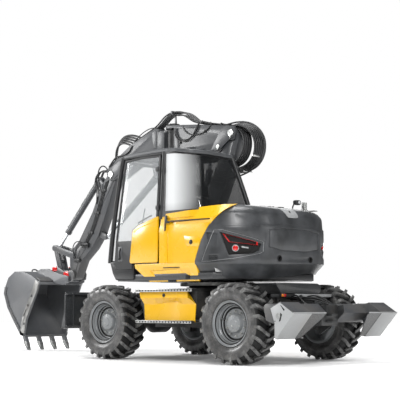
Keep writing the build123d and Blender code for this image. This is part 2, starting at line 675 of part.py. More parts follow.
def left_panel():
    """Left body panel behind the door, with the tucked skirt under it."""
    half = body_width / 2
    front = door_rear - 8
    shell = upward(tail_plan(0, front), 1385, body_top) - upward(tail_plan(skin, front + 1), 1384, body_top + 1)
    body = shell & panel_zone(-body_width, -body_width / 2 + 320, front)
    body -= across([(front + 1, 1900), (front - 22, 2075), (-300, 2150), (-600, body_top), (-600, body_top + 2),
                    (front + 1, body_top + 2)], -half - 1, -half + skin + 1)
    return body + across([(600, 1160), (600, 1385), (wall_joint, 1385), (wall_joint, 1160)], -half + 20, -half + skin)


def right_body():
    """Right-hand housing beside the boom: solid tank box in front, outer wall behind it."""
    half = body_width / 2
    body = block(500, half, -220, 560, deck_top, 1700) + block(500, half, -220, -180, 1700, body_top)
    return body + block(half - skin, half, wall_joint, -180, deck_top, body_top)


def engine_hood():
    """Hood over the engine bay, hinged at its rear edge."""
    plate = block(-80, body_width / 2 - wall + 10, -890, -225, body_top, body_top + 36)
    hinge_y = -912
    for x in (100, 900):
        plate += block(x - 30, x + 30, hinge_y, -880, body_top + 12, body_top + 30)
        plate += cross_bar(x - 30, x + 30, (hinge_y, body_top + 21), 14)
        plate -= cross_bar(x - 31, x + 31, (hinge_y, body_top + 21), 8 + fit)
    return plate


def hood_hinges():
    """Fixed halves of the hood's hinges."""
    body = []
    for x in (100, 900):
        for side in (-1, 1):
            body.append(block(x + side * 36, x + side * 44, -970, -902, body_top, body_top + 34))
        body.append(cross_bar(x - 44, x + 44, (-912, body_top + 21), 8))
        body.append(block(x - 44, x + 44, -1150, -960, body_top, body_top + 10))
    return fused(body)


def engine_block():
    return block(-600, 600, -1150, cab_back - 20, deck_top, 1900)


# ---------------------------------------------------------------- cab
def cab_solid(inset, base=None):
    base = deck_top + inset if base is None else base
    side = [(cab_back + inset, base), (cab_front - 120 - inset, base),
            (cab_front - inset, 1420), (cab_front - 30 - inset, 1800), (cab_brow + 60 - inset, 2800),
            (cab_brow + 20 - inset, cab_top - 25 - inset), (200, cab_top - inset),
            (cab_back_top + inset, cab_top - 60 - inset),
            (cab_back + inset, 2210)]
    front = [(cab_left + 10 + inset, deck_top - 1), (cab_right - inset, deck_top - 1), (cab_right - inset, 2300),
             (cab_right - 60 - inset, cab_top), (cab_left + 60 + inset, cab_top), (cab_left + inset, 2000)]
    return across(side, cab_left, cab_right) & along(front, cab_back - 50, cab_front + 50)


def window(name, grow=0):
    """Prisms that cut the cab's windows; grow widens them for the panes behind."""
    g = grow
    head = cab_top - 120 + g
    shapes = {
        "screen": lambda: block(cab_left + 62 - g, cab_right - 62 + g, 700, 1400, 1460 - g, cab_top - 160 + g),
        "right_front": lambda: block(cab_right - 170, cab_right + 10, 200 - g, 800 + g, 1900 - g, head),
        "right_rear": lambda: block(cab_right - 170, cab_right + 10, -380 - g, 130 + g, 2230 - g, head),
        "rear": lambda: block(cab_left + 75 - g, cab_right - 75 + g, -900, -380, 2235 - g, head - 10),
        "left_rear": lambda: across([(-680 - g, 2235 - g), (door_rear - 45 + g, 2235 - g), (door_rear - 45 + g, head),
                                     (-420 - g, head)], cab_left - 10, cab_left + 170),
    }
    return shapes[name]()


window_names = ("screen", "right_front", "right_rear", "rear", "left_rear")


def cab_frame():
    """Welded cab cell: floor, lower walls and pillars, with the windows and the door cut."""
    shell = cab_solid(0) - cab_solid(cab_wall, deck_top + floor_height)
    shell -= block(cab_left - 10, cab_right + 10, -2000, 2000, roof_joint, cab_top + 100)
    for name in window_names:
        shell -= window(name)
    shell -= block(cab_left - 10, cab_left + 250, door_rear + 5, door_front + 10, door_foot - 10, cab_top - 120)
    shell -= block(cab_left - 20, -body_width / 2 + skin, -2000, door_rear + 5, deck_bottom, body_top + 5)
    shell -= block(cab_left - 20, -body_width / 2 + skin + 14, -2000, -680, deck_bottom, body_top + 5)
    shell -= block(cab_left - 20, -body_width / 2 + skin, -2000, 2000, deck_bottom, 1390)
    x = cab_left - 12
    for z in (2190, 2740):
        for up in (-1, 1):
            shell += block(x - 14, cab_left + 40, door_rear - 30, door_rear + 3, z + up * 46 - 6, z + up * 46 + 6)
            shell += post(x, door_rear + 3, z + up * 46 - 6, z + up * 46 + 6, 11)
        shell += post(x, door_rear + 3, z - 52, z + 52, 8)
    return shell


def cab_roof():
    """Moulded roof cap."""
    cap = cab_solid(-12) & block(cab_left - 40, cab_right + 40, -2000, 2000, roof_joint, cab_top + 50)
    return cap - cab_solid(cab_wall) & block(cab_left - 40, cab_right + 40, -2000, 2000, roof_joint, cab_top + 50)


def cab_door():
    """Full-height door: glazed frame with the lower panel at its rear."""
    outer = [(door_rear + 15, 1400), (640, 1400), (640, door_foot), (door_front, door_foot), (door_front, 1420),
             (985, 1800), (862, 2780), (838, cab_top - 130), (door_rear + 15, cab_top - 130)]
    hole = [(door_rear + 60, 2085), (430, 2015), (645, 1870), (668, 1715), (942, 1715), (930, 1810), (812, 2760),
            (790, cab_top - 175), (door_rear + 60, cab_top - 175)]
    door = across(outer, cab_left - 6, cab_left + 30) - across(hole, cab_left - 20, cab_left + 60)
    x = cab_left - 12
    for z in (2190, 2740):
        sleeve = post(x, door_rear + 3, z - 36, z + 36, 13)
        sleeve += block(x - 6, x + 8, door_rear + 3, door_rear + 40, z - 36, z + 36)
        door += sleeve - post(x, door_rear + 3, z - 40, z + 40, 8 + fit)
    return door


def door_glass():
    pane = [(door_rear + 46, 2071), (424, 2001), (632, 1860), (656, 1701), (957, 1701), (944, 1812), (826, 2764),
            (802, cab_top - 161), (door_rear + 46, cab_top - 161)]
    return across(pane, cab_left + 30, cab_left + 30 + glass)


def cab_glass():
    """Fixed panes, bonded behind the cab's openings."""
    sheet = cab_solid(cab_wall) - cab_solid(cab_wall + glass)
    panes = []
    for name in window_names:
        panes.append(sheet & window(name, 12))
    return fused(panes)


def seat():
    x0, x1 = -860, -410
    floor = deck_top + floor_height
    parts = [block(x0, x1, -60, 420, 1560, 1690),
             across([(-40, 1640), (-150, 2330), (-250, 2330), (-150, 1560), (-40, 1560)], x0 + 20, x1 - 20),
             block(x0 + 60, x1 - 60, -60, 340, floor, 1560)]
    return fused(parts)


def consoles():
    """Two armrest consoles and the steering column."""
    floor = deck_top + floor_height
    body = []
    for x0, x1 in ((-960, -880), (-390, -310)):
        body.append(block(x0, x1, 0, 420, 1700, 1780) + block(x0, x1, 0, 140, floor, 1700))
    body.append(across([(820, floor), (880, floor), (745, 1790), (700, 1765)], -665, -605))
    at = Pos(-635, 722, 1782) * Rot(25, 0, 0)
    body.append(at * Torus(170, 14))
    body.append(at * Box(330, 34, 16))
    return fused(body)


# ---------------------------------------------------------------- all pieces
def all_nodes():
    nodes = {}
    corners = {"front_left": (-1, wheel_y), "front_right": (1, wheel_y),
               "rear_left": (-1, -wheel_y), "rear_right": (1, -wheel_y)}
    for corner, (side, y) in corners.items():
        nodes["tyre_" + corner] = tyre(side, y)
        nodes["wheel_" + corner] = rim(side, y)
    for name, side in (("left", -1), ("right", 1)):
        nodes["knuckle_" + name] = knuckle(side, wheel_y)
        nodes["toolbox_" + name] = side_unit(side)
        nodes["stabiliser_" + name] = stabiliser(side)
    for name, spec in cylinders.items():
        nodes[name + "_cylinder"], nodes[name + "_rod"] = barrel_and_rod(spec)
    nodes["offset_cylinder"], nodes["offset_rod"] = offset_barrel_and_rod()
    single = [front_axle, rear_axle, chassis_frame, tail_cover, rear_bracket, blade, blade_arms, blade_links,
              boom_base, boom_mid, boom_offset, stick, bucket, upper_frame, counterweight, left_panel, right_body,
              engine_hood, hood_hinges, engine_block, cab_frame, cab_roof, cab_door, door_glass, cab_glass,
              seat, consoles]
    for make in single:
        nodes[make.__name__] = make()
    nodes["bucket_rocker"] = rocker()
    nodes["bucket_link"] = dump_link()
    nodes["quick_coupler"] = coupler()
    return nodes


origin_step = -(bucket_back - tail_end) / 2


def main():
    os.makedirs("parts", exist_ok=True)
    for name, shape in all_nodes().items():
        export_step(Pos(0, origin_step, 0) * shape, "parts/" + name + ".step")
        print(name, len(shape.solids()), "solids", round(shape.volume / 1e6, 1), "litres")


if __name__ == "__main__":
    main()
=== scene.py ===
import json
import math
import bpy
from mathutils import Matrix, Vector


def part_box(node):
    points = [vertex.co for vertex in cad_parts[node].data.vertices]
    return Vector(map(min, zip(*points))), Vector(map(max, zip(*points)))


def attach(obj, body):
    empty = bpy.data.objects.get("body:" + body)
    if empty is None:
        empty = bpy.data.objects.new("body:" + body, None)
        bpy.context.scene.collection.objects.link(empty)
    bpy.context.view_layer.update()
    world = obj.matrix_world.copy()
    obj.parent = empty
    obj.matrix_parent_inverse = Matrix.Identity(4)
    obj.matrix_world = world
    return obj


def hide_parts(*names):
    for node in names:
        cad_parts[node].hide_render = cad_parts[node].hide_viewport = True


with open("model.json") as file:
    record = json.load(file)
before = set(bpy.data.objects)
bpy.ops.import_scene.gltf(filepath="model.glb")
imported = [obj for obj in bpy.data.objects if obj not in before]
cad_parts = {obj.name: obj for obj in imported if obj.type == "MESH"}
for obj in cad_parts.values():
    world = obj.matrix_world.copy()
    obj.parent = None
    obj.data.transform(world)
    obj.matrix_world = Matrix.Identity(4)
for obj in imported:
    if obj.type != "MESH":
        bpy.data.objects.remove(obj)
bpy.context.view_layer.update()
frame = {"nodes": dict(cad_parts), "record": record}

print("frame loaded:", len(frame["nodes"]), "nodes")

# The machine stands on z 0 and looks along +Y. Measures in the dictionaries are metres.
slewY = -1.316                  # the slew axis; side views below are written from here
armX = 0.31                     # middle plane of the arm
axleReach = 1.25                # from the slew axis to each axle
parts = frame["nodes"]


# ---- small modelling helpers
def choose(*objs):
    # leaves only these objects selected, the first one active
    if bpy.context.mode != "OBJECT":
        bpy.ops.object.mode_set(mode="OBJECT")
    bpy.ops.object.select_all(action="DESELECT")
    for obj in objs:
        obj.select_set(True)
    bpy.context.view_layer.objects.active = objs[0]
    return objs[0]


def openMesh(obj, mode="FACE"):
    choose(obj)
    bpy.ops.object.mode_set(mode="EDIT")
    bpy.ops.mesh.select_mode(type=mode)
    bpy.ops.mesh.select_all(action="SELECT")


def closeMesh():
    bpy.ops.object.mode_set(mode="OBJECT")


def bake(obj, kind, **settings):
    # adds one modifier and applies it
    choose(obj)
    mod = obj.modifiers.new(kind.title(), kind)
    for key, value in settings.items():
        setattr(mod, key, value)
    bpy.ops.object.modifier_apply(modifier=mod.name)
    return obj


def settle(obj):
    # puts the place, turn and size into the mesh
    choose(obj)
    bpy.ops.object.transform_apply(location=True, rotation=True, scale=True)
    return obj


def softEdges(obj, width, steps=2, corner=32, smooth=35):
    if width:
        bake(obj, "BEVEL", width=width, segments=steps, limit_method="ANGLE",
             angle_limit=math.radians(corner), use_clamp_overlap=True, miter_outer="MITER_ARC")
    return smoothBy(obj, smooth)


def outward(obj):
    openMesh(obj)
    bpy.ops.mesh.remove_doubles(threshold=1e-5)
    bpy.ops.mesh.normals_make_consistent(inside=False)
    closeMesh()
    return obj


def joined(name, objs):
    choose(*objs)
    if len(objs) > 1:
        bpy.ops.object.join()
    obj = bpy.context.view_layer.objects.active
    obj.name = obj.data.name = name
    return obj


def twin(obj, matrix):
    # a copy with its own mesh, moved in the mesh itself
    copy = obj.copy()
    copy.data = obj.data.copy()
    bpy.context.scene.collection.objects.link(copy)
    copy.data.transform(matrix)
    if matrix.to_3x3().determinant() < 0:
        copy.data.flip_normals()
    return copy


def box(x0, x1, y0, y1, z0, z1, edge=0.004, steps=2):
    bpy.ops.mesh.primitive_cube_add(size=1, location=((x0 + x1) / 2, (y0 + y1) / 2, (z0 + z1) / 2))
    obj = bpy.context.object
    obj.scale = (abs(x1 - x0), abs(y1 - y0), abs(z1 - z0))
    settle(obj)
    return softEdges(obj, edge, steps)


def profile(points, plane, lo, hi, edge=0.004, steps=2, corner=32):
    # a flat outline extruded; plane "x" takes (y, z), "y" takes (x, z), "z" takes (x, y)
    bpy.ops.mesh.primitive_circle_add(vertices=len(points), radius=1, fill_type="NGON", location=(0, 0, 0))
    obj = bpy.context.object
    lo, hi = min(lo, hi), max(lo, hi)
    spots = {"x": lambda a, b: (lo, a, b), "y": lambda a, b: (a, lo, b), "z": lambda a, b: (a, b, lo)}[plane]
    for vert, (a, b) in zip(obj.data.vertices, points):
        vert.co = spots(a, b)
    openMesh(obj)
    way = {"x": (hi - lo, 0, 0), "y": (0, hi - lo, 0), "z": (0, 0, hi - lo)}[plane]
    bpy.ops.mesh.extrude_region_move(TRANSFORM_OT_translate={"value": way})
    bpy.ops.mesh.select_all(action="SELECT")
    bpy.ops.mesh.normals_make_consistent(inside=False)
    closeMesh()
    return softEdges(obj, edge, steps, corner)


def rod(start, end, radius, sides=32, edge=0.002, endRadius=None):
    a, b = Vector(start), Vector(end)
    if endRadius is None:
        bpy.ops.mesh.primitive_cylinder_add(vertices=sides, radius=radius, depth=(b - a).length)
    else:
        bpy.ops.mesh.primitive_cone_add(vertices=sides, radius1=radius, radius2=endRadius,
                                        depth=(b - a).length)
    obj = bpy.context.object
    obj.rotation_mode = "QUATERNION"
    obj.rotation_quaternion = (b - a).to_track_quat("Z", "Y")
    obj.location = (a + b) / 2
    settle(obj)
    return softEdges(obj, edge, 2)


def lathe(outline, centre, axis, steps=64, edge=0.0, smooth=35):
    # outline of (along, radius) points turned about the axis through centre
    bpy.ops.mesh.primitive_circle_add(vertices=len(outline), radius=1, fill_type="NOTHING",
                                      location=(0, 0, 0))
    obj = bpy.context.object
    for vert, (along, radius) in zip(obj.data.vertices, outline):
        vert.co = (along, radius, 0)
    openMesh(obj, "VERT")
    bpy.ops.mesh.spin(steps=steps, angle=math.tau, center=(0, 0, 0), axis=(1, 0, 0))
    bpy.ops.mesh.select_all(action="SELECT")
    bpy.ops.mesh.remove_doubles(threshold=1e-5)
    bpy.ops.mesh.normals_make_consistent(inside=False)
    closeMesh()
    turn = Vector((1, 0, 0)).rotation_difference(Vector(axis)).to_matrix().to_4x4()
    obj.data.transform(Matrix.Translation(Vector(centre)) @ turn)
    return softEdges(obj, edge, 2, smooth=smooth)


def hose(points, radius, sides=4, smooth=3):
    # a rubber line through its bends; the ends lie in their fittings
    bpy.ops.curve.primitive_nurbs_path_add(location=(0, 0, 0))
    obj = bpy.context.object
    line = obj.data
    line.splines.clear()
    run = line.splines.new("NURBS")
    run.points.add(len(points) - 1)
    for spot, p in zip(run.points, points):
        spot.co = (*p, 1)
    run.order_u = smooth
    run.use_endpoint_u = True
    line.resolution_u = 8
    line.dimensions = "3D"
    line.bevel_depth = radius
    line.bevel_resolution = sides
    line.use_fill_caps = True
    choose(obj)
    bpy.ops.object.convert(target="MESH")
    obj = bpy.context.object
    bpy.ops.object.shade_smooth()
    return obj


def bolt(foot, axis, radius, high):
    # hexagon head with a chamfered top and a washer under it
    a, way = Vector(foot), Vector(axis).normalized()
    head = rod(a, a + way * high, radius, sides=6, edge=radius * 0.12)
    disc = rod(a - way * high * 0.2, a + way * high * 0.22, radius * 1.45, sides=16, edge=0)
    return joined("bolt", [head, disc])


def at(x, y, z):
    # a place whose y is written from the slew axis
    return (x, slewY + y, z)


def slewBox(*spans):
    # a box whose y span is written from the slew axis
    x0, x1, y0, y1, *rest = spans
    return box(x0, x1, slewY + y0, slewY + y1, *rest)


def sideProfile(points, *rest):
    # a side view outline, y from the slew axis, with its thickness across the machine
    return profile([(slewY + y, z) for y, z in points], "x", *rest)


def slewHose(points, *rest):
    return hose([at(*p) for p in points], *rest)


def paint(obj, material):
    obj.data.materials.clear()
    obj.data.materials.append(material)
    return obj


def smoothBy(obj, degrees):
    choose(obj)
    bpy.ops.object.shade_smooth_by_angle(angle=math.radians(degrees))
    return obj


def finish(obj, name, material, body, replaces=()):
    # joins a list of pieces, then names and paints the whole and hangs it on its body
    if isinstance(obj, list):
        obj = joined(name, obj)
    obj.name = obj.data.name = name
    paint(obj, material)
    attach(obj, body)
    if replaces:
        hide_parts(*replaces)
    return obj


def softCopy(node, edge=0.004, steps=2, corner=32):
    # the CAD part's own shape with its sharp edges broken
    source = parts[node]
    copy = source.copy()
    copy.data = source.data.copy()
    bpy.context.scene.collection.objects.link(copy)
    for key in list(copy.keys()):
        del copy[key]
    copy.parent = None
    openMesh(copy)
    bpy.ops.mesh.remove_doubles(threshold=1e-5)
    bpy.ops.mesh.customdata_custom_splitnormals_clear()
    bpy.ops.mesh.dissolve_limited(angle_limit=math.radians(0.6))
    closeMesh()
    copy.data.materials.clear()
    return softEdges(copy, edge, steps, corner)


# ---- finishes
def tone(code):
    # an sRGB hex colour as the linear values that the shaders take
    shades = [int(code[i:i + 2], 16) / 255 for i in (0, 2, 4)]
    return tuple(s / 12.92 if s <= 0.04045 else ((s + 0.055) / 1.055) ** 2.4 for s in shades) + (1.0,)


def addNode(tree, kind, inputs=(), **settings):
    # one shader node; a node or socket given as an input is linked, anything else is its value
    node = tree.nodes.new("ShaderNode" + kind)
    for key, value in settings.items():
        setattr(node, key, value)
    for key, value in (inputs if isinstance(inputs, dict) else dict(enumerate(inputs))).items():
        if isinstance(value, bpy.types.Node):
            value = value.outputs[0]
        if isinstance(value, bpy.types.NodeSocket):
            tree.links.new(value, node.inputs[key])
        else:
            node.inputs[key].default_value = value
    return node


def newFinish(name, *grains):
    # an empty finish with one noise per grain: blob size in millimetres, detail, roughness
    mat = bpy.data.materials.new(name)
    mat.use_nodes = True
    tree = mat.node_tree
    tree.nodes.clear()
    shader = addNode(tree, "BsdfPrincipled")
    addNode(tree, "OutputMaterial", (shader,))
    place = addNode(tree, "TexCoord").outputs["Object"]
    clouds = [addNode(tree, "TexNoise", {"Vector": place, "Scale": 1000 / size, "Detail": detail,
                                         "Roughness": rough[0] if rough else 0.55})
              for size, detail, *rough in grains]
    return mat, tree, shader, place, clouds


def dress(tree, shader, links, values):
    # links and plain values on the shader's own sockets
    for socket, node in links.items():
        tree.links.new(node.outputs[2 if node.type == "MIX" else 0], shader.inputs[socket])
    for socket, value in values.items():
        shader.inputs[socket].default_value = value


def coatedSteel(name, colour, worn, rough=0.34, coat=0.35, peel=0.25, dust=0.35, wear=0.3,
                dirt="8b8378", dustTop=1.2):
    # sprayed two-pack paint on welded steel: faint orange peel, grime that thins out upward,
    # and rubbed edges a shade lighter than the paint
    mat, tree, shader, place, (broad, fine, skin) = newFinish(name, (420, 4.0), (14, 5.0), (5, 2.0))
    height = addNode(tree, "SeparateXYZ", (place,)).outputs["Z"]
    low = addNode(tree, "MapRange", (height, 0.1, dustTop, 1.0, 0.12))
    cloud = addNode(tree, "MapRange", (broad, 0.42, 0.70))
    film = addNode(tree, "Math", (low, cloud), operation="MULTIPLY")
    film = addNode(tree, "Math", (film, dust), operation="MULTIPLY")
    edge = addNode(tree, "NewGeometry").outputs["Pointiness"]
    edge = addNode(tree, "MapRange", (edge, 0.53, 0.62))
    chips = addNode(tree, "MapRange", (fine, 0.48, 0.62))
    edge = addNode(tree, "Math", (edge, chips), operation="MULTIPLY")
    edge = addNode(tree, "Math", (edge, wear), operation="MULTIPLY")
    shade = addNode(tree, "Mix", {0: edge, 6: tone(colour), 7: tone(worn)}, data_type="RGBA")
    shade = addNode(tree, "Mix", {0: film, 6: shade.outputs[2], 7: tone(dirt)}, data_type="RGBA")
    gloss = addNode(tree, "MapRange", (broad, 0.3, 0.75, rough - 0.05, rough + 0.10))
    bump = addNode(tree, "Bump", {"Strength": 0.6, "Distance": peel / 1000, "Height": skin})
    dress(tree, shader, {"Base Color": shade, "Roughness": gloss, "Normal": bump},
          {"Coat Weight": coat, "Coat Roughness": 0.18})
    return mat


# dark grey machine paint, satin: broad soft sheen and paler rubbed edges
darkPaint = coatedSteel("anthraciteMachinePaint", "2c2e30", "8b8d8f", rough=0.40, coat=0.22, dust=0.20)
# the same grey on the arm, which gets rubbed and dusty
armPaint = coatedSteel("anthraciteArmPaint", "434548", "9a9b9c", rough=0.42, coat=0.18, dust=0.28,
                       dustTop=2.6)
# satin black on the cab cell and door
cabPaint = coatedSteel("satinBlackCabPaint", "17181a", "6d6f71", rough=0.36, coat=0.30, dust=0.12)
# the bucket, scrubbed paler by digging
bucketPaint = coatedSteel("anthraciteBucketPaint", "5a5c5f", "a9aaab", rough=0.44, coat=0.12, dust=0.30,
                          dustTop=1.6, dirt="8c8a86")
# bright yellow panel paint with a deep clear gloss
yellowPaint = coatedSteel("yellowGlossPaint", "efb80e", "f5d257", rough=0.24, coat=0.7, peel=0.12,
                          dust=0.16, wear=0.15, dirt="a8905a")
# near-black chassis paint, duller and dustier low down
chassisPaint = coatedSteel("blackChassisPaint", "232425", "6b6a68", rough=0.48, coat=0.10, dust=0.34)
# mid grey wheel enamel, with a darker film in patches towards the bottom
wheelPaint = coatedSteel("greyWheelEnamel", "86898b", "c3c5c6", rough=0.34, coat=0.30, dust=0.22,
                         dirt="6c6a66")
# pale grey enamel on the soles and the bare plates
palePaint = coatedSteel("paleGreyEnamel", "a7a9aa", "c8c9ca", rough=0.42, coat=0.15, dust=0.30)


def castIron(name, colour):
    # painted sand casting: grainy skin under the paint, softer shine than sheet steel
    mat, tree, shader, _, (broad, skin) = newFinish(name, (300, 4.0), (7, 4.0, 0.65))
    cloud = addNode(tree, "MapRange", (broad, 0.35, 0.7))
    shade = addNode(tree, "Mix", {0: cloud, 6: tone(colour), 7: tone("4b4d50")}, data_type="RGBA")
    gloss = addNode(tree, "MapRange", (broad, 0.3, 0.7, 0.36, 0.50))
    bump = addNode(tree, "Bump", {"Strength": 0.6, "Distance": 0.5 / 1000, "Height": skin})
    dress(tree, shader, {"Base Color": shade, "Roughness": gloss, "Normal": bump},
          {"Coat Weight": 0.25, "Coat Roughness": 0.25})
    return mat


castPaint = castIron("paintedCastIron", "2d2f31")


def tyreRubber(name, dark, pale, low, high, rough, gloss):
    # natural rubber, moulded: a near black ground, dust held on it, scuffed where it meets the road
    mat, tree, shader, _, (broad, fine, speck) = newFinish(name, (150, 5.0), (9, 4.0), (26, 5.0))
    cloud = addNode(tree, "MapRange", (broad, low, high))
    specks = addNode(tree, "MapRange", (speck, 0.32, 0.66, 0.25, 1.0))
    mottle = addNode(tree, "Math", (cloud, specks), operation="MULTIPLY")
    shade = addNode(tree, "Mix", {0: mottle, 6: tone(dark), 7: tone(pale)}, data_type="RGBA")
    matt = addNode(tree, "MapRange", (fine, 0.3, 0.7, rough - 0.10, rough + 0.10))
    bump = addNode(tree, "Bump", {"Strength": 0.6, "Distance": 0.8 / 1000, "Height": fine})
    dress(tree, shader, {"Base Color": shade, "Roughness": matt, "Normal": bump},
          {"Specular IOR Level": gloss})
    return mat


# the carcass shows in the grooves between the lugs; its deeper black than the lug and sidewall rubber is
# painted shade in the grooves
tyreBlack = tyreRubber("mouldedTyreRubber", "070708", "1c1b1a", 0.46, 0.76, 0.62, 0.4)
lugRubber = tyreRubber("scuffedLugRubber", "242425", "80807e", 0.36, 0.62, 0.40, 0.8)
sideRubber = tyreRubber("dustySidewallRubber", "252526", "6f6e6c", 0.36, 0.68, 0.36, 0.8)


def simple(name, colour, second, rough, grainMm, depthMm, metal=0.0, spread=0.08, coat=0.0):
    # a one-tone finish with its own grain, and roughness that drifts a little
    mat, tree, shader, _, (fine, broad) = newFinish(name, (grainMm, 4.0), (grainMm * 26, 3.0))
    cloud = addNode(tree, "MapRange", (broad, 0.38, 0.68))
    shade = addNode(tree, "Mix", {0: cloud, 6: tone(colour), 7: tone(second)}, data_type="RGBA")
    gloss = addNode(tree, "MapRange", (broad, 0.3, 0.7, max(rough - spread, 0.03), rough + spread))
    links = {"Base Color": shade, "Roughness": gloss}
    if depthMm:
        links["Normal"] = addNode(tree, "Bump", {"Strength": 0.6, "Distance": depthMm / 1000, "Height": fine})
    dress(tree, shader, links, {"Metallic": metal, "Coat Weight": coat})
    return mat


# hose cover: fine cloth print, soft shine
hoseRubber = simple("rubberHoseCover", "1b1c1d", "2a2b2c", 0.46, 4, 0.15)
# leather-like grain on small fittings, then the smoother roof and hood skins
blackPlastic = simple("grainedBlackPlastic", "1c1d1e", "2b2c2d", 0.50, 3, 0.25)
greyPlastic = simple("mouldedGreyPlastic", "47494b", "55575a", 0.44, 4, 0.2)
# dark gloss band round the glass
sealRubber = simple("glazingSealRubber", "111213", "1c1d1e", 0.38, 5, 0.1)
# clean mirror rods, scraped digging edges, plated fittings and bolts
chrome = simple("hardChromedSteel", "d9dbdd", "c3c6c9", 0.12, 2, 0.0, metal=1.0, spread=0.04)
bareSteel = simple("wornBareSteel", "a6a6a4", "7f7e7c", 0.40, 8, 0.35, metal=0.80, spread=0.10)
zincSteel = simple("zincPlatedSteel", "b9bab8", "9a9c9b", 0.34, 5, 0.1, metal=0.9)
# prismed acrylic lamps: red, clear and amber
redLens = simple("redMouldedLens", "c81616", "e02420", 0.16, 9, 0.5, coat=0.8)
clearLens = simple("clearMouldedLens", "d5d8da", "e8eaeb", 0.12, 9, 0.6, coat=0.8)
orangeLens = simple("amberMouldedLens", "f07c12", "f79a2a", 0.18, 9, 0.5, coat=0.8)
# near-black painted shade inside vents, pockets, holes, slots and gaps; also dark seam lines
darkInside = simple("unlitInnerSkin", "070708", "0e0e0e", 0.8, 20, 0.2)
# coarse weave, no shine
seatCloth = simple("wovenSeatCloth", "2c2d30", "3a3b3f", 0.86, 3, 0.8)


def tintedGlass(name, colour, alpha, paintedSheen=None):
    # toughened float glass: shows the cab dimly and mirrors the sky; sheen puts a painted reflection into the
    # colour and opacity, and says where that pale upright band starts, is full, starts to fade and is gone
    mat, tree, shader, place, (broad,) = newFinish(name, (500, 2.0))
    gloss = addNode(tree, "MapRange", (broad, 0.3, 0.7, 0.02, 0.06))
    dress(tree, shader, {"Roughness": gloss},
          {"Base Color": tone(colour), "IOR": 1.5, "Specular IOR Level": 0.9, "Alpha": alpha})
    if paintedSheen:
        # painted reflection: a pale band across the pane, weaker lower down, where the glass is also made
        # less clear
        axes = addNode(tree, "SeparateXYZ", (place,)).outputs
        across = addNode(tree, "Math", (axes["X"], axes["Y"]), operation="SUBTRACT")
        near = addNode(tree, "MapRange", (across, paintedSheen[0], paintedSheen[1], 0.50, 1.0))
        far = addNode(tree, "MapRange", (across, paintedSheen[2], paintedSheen[3], 1.0, 0.0))
        low = addNode(tree, "MapRange", (axes["Z"], 1.95, 2.25, 0.45, 1.0))
        pale = addNode(tree, "Math", (near, far), operation="MULTIPLY")
        pale = addNode(tree, "Math", (pale, low), operation="MULTIPLY")
        shade = addNode(tree, "Mix", {0: pale, 6: tone(colour), 7: tone("eceeef")}, data_type="RGBA")
        veil = addNode(tree, "MapRange", (pale, 0.0, 1.0, alpha, 0.93))
        dress(tree, shader, {"Base Color": shade, "Alpha": veil}, {})
    return mat


clearGlass = tintedGlass("clearToughenedGlass", "b9c2c5", 0.14)
doorTint = tintedGlass("doorToughenedGlass", "dde1e3", 0.24)
# the rear pane carries the painted reflection band
smokeGlass = tintedGlass("smokedRearGlass", "101214", 0.66, paintedSheen=(0.10, 0.26, 0.36, 0.92))
print("finishes ready:", len(bpy.data.materials))


# ---- wheels: tread, rims and bolts
wheels = {
    "tyreRadius": 0.550, "halfWidth": 0.220, "carcassRadius": 0.512,
    "lugs": 22, "lugWidth": 0.052,
    "rimBolts": 10, "boltCircle": 0.166, "boltRadius": 0.0125,
}
wheelPlaces = {
    "front_left": at(-0.98, axleReach, -1), "front_right": at(0.98, axleReach, 1),
    "rear_left": at(-0.98, -axleReach, -1), "rear_right": at(0.98, -axleReach, 1),
}


def treadLug():
    # one directional lug: a bent bar from past the middle out over the shoulder, tapered sides
    w = wheels
    run = [(-0.012, 0.0), (0.045, 0.020), (0.105, 0.052), (0.160, 0.086), (0.196, 0.104), (0.2165, 0.112),
           (0.217, 0.116)]
    tops = [w["tyreRadius"], w["tyreRadius"], w["tyreRadius"] - 0.001, w["tyreRadius"] - 0.005,
            w["tyreRadius"] - 0.015,
            0.494, 0.452]
    foots = [0.500, 0.500, 0.500, 0.494, 0.484, 0.462, 0.440]
    bpy.ops.mesh.primitive_grid_add(x_subdivisions=len(run) - 1, y_subdivisions=3, size=1)
    obj = bpy.context.object
    openMesh(obj)
    bpy.ops.mesh.extrude_region_move(TRANSFORM_OT_translate={"value": (0, 0, 1)})
    closeMesh()
    for vert in obj.data.vertices:
        i = round((vert.co.x + 0.5) * (len(run) - 1))
        across = round((vert.co.y + 0.5) * 3) / 3 * 2 - 1      # -1 to 1 over the lug's width
        top = vert.co.z > 0.5
        x, sweep = run[i]
        half = w["lugWidth"] / 2 * (1.0 if i < 5 else 0.86) * (0.88 if top else 1.12)
        radius = tops[i] if top else foots[i]
        x += (0.0 if top else 0.003) if i >= 5 else 0.0
        angle = (sweep + across * half) / 0.53
        vert.co = (min(x, w["halfWidth"] - 0.0015), math.sin(angle) * radius, math.cos(angle) * radius)
    outward(obj)
    return softEdges(obj, 0.0045, 2, 25)


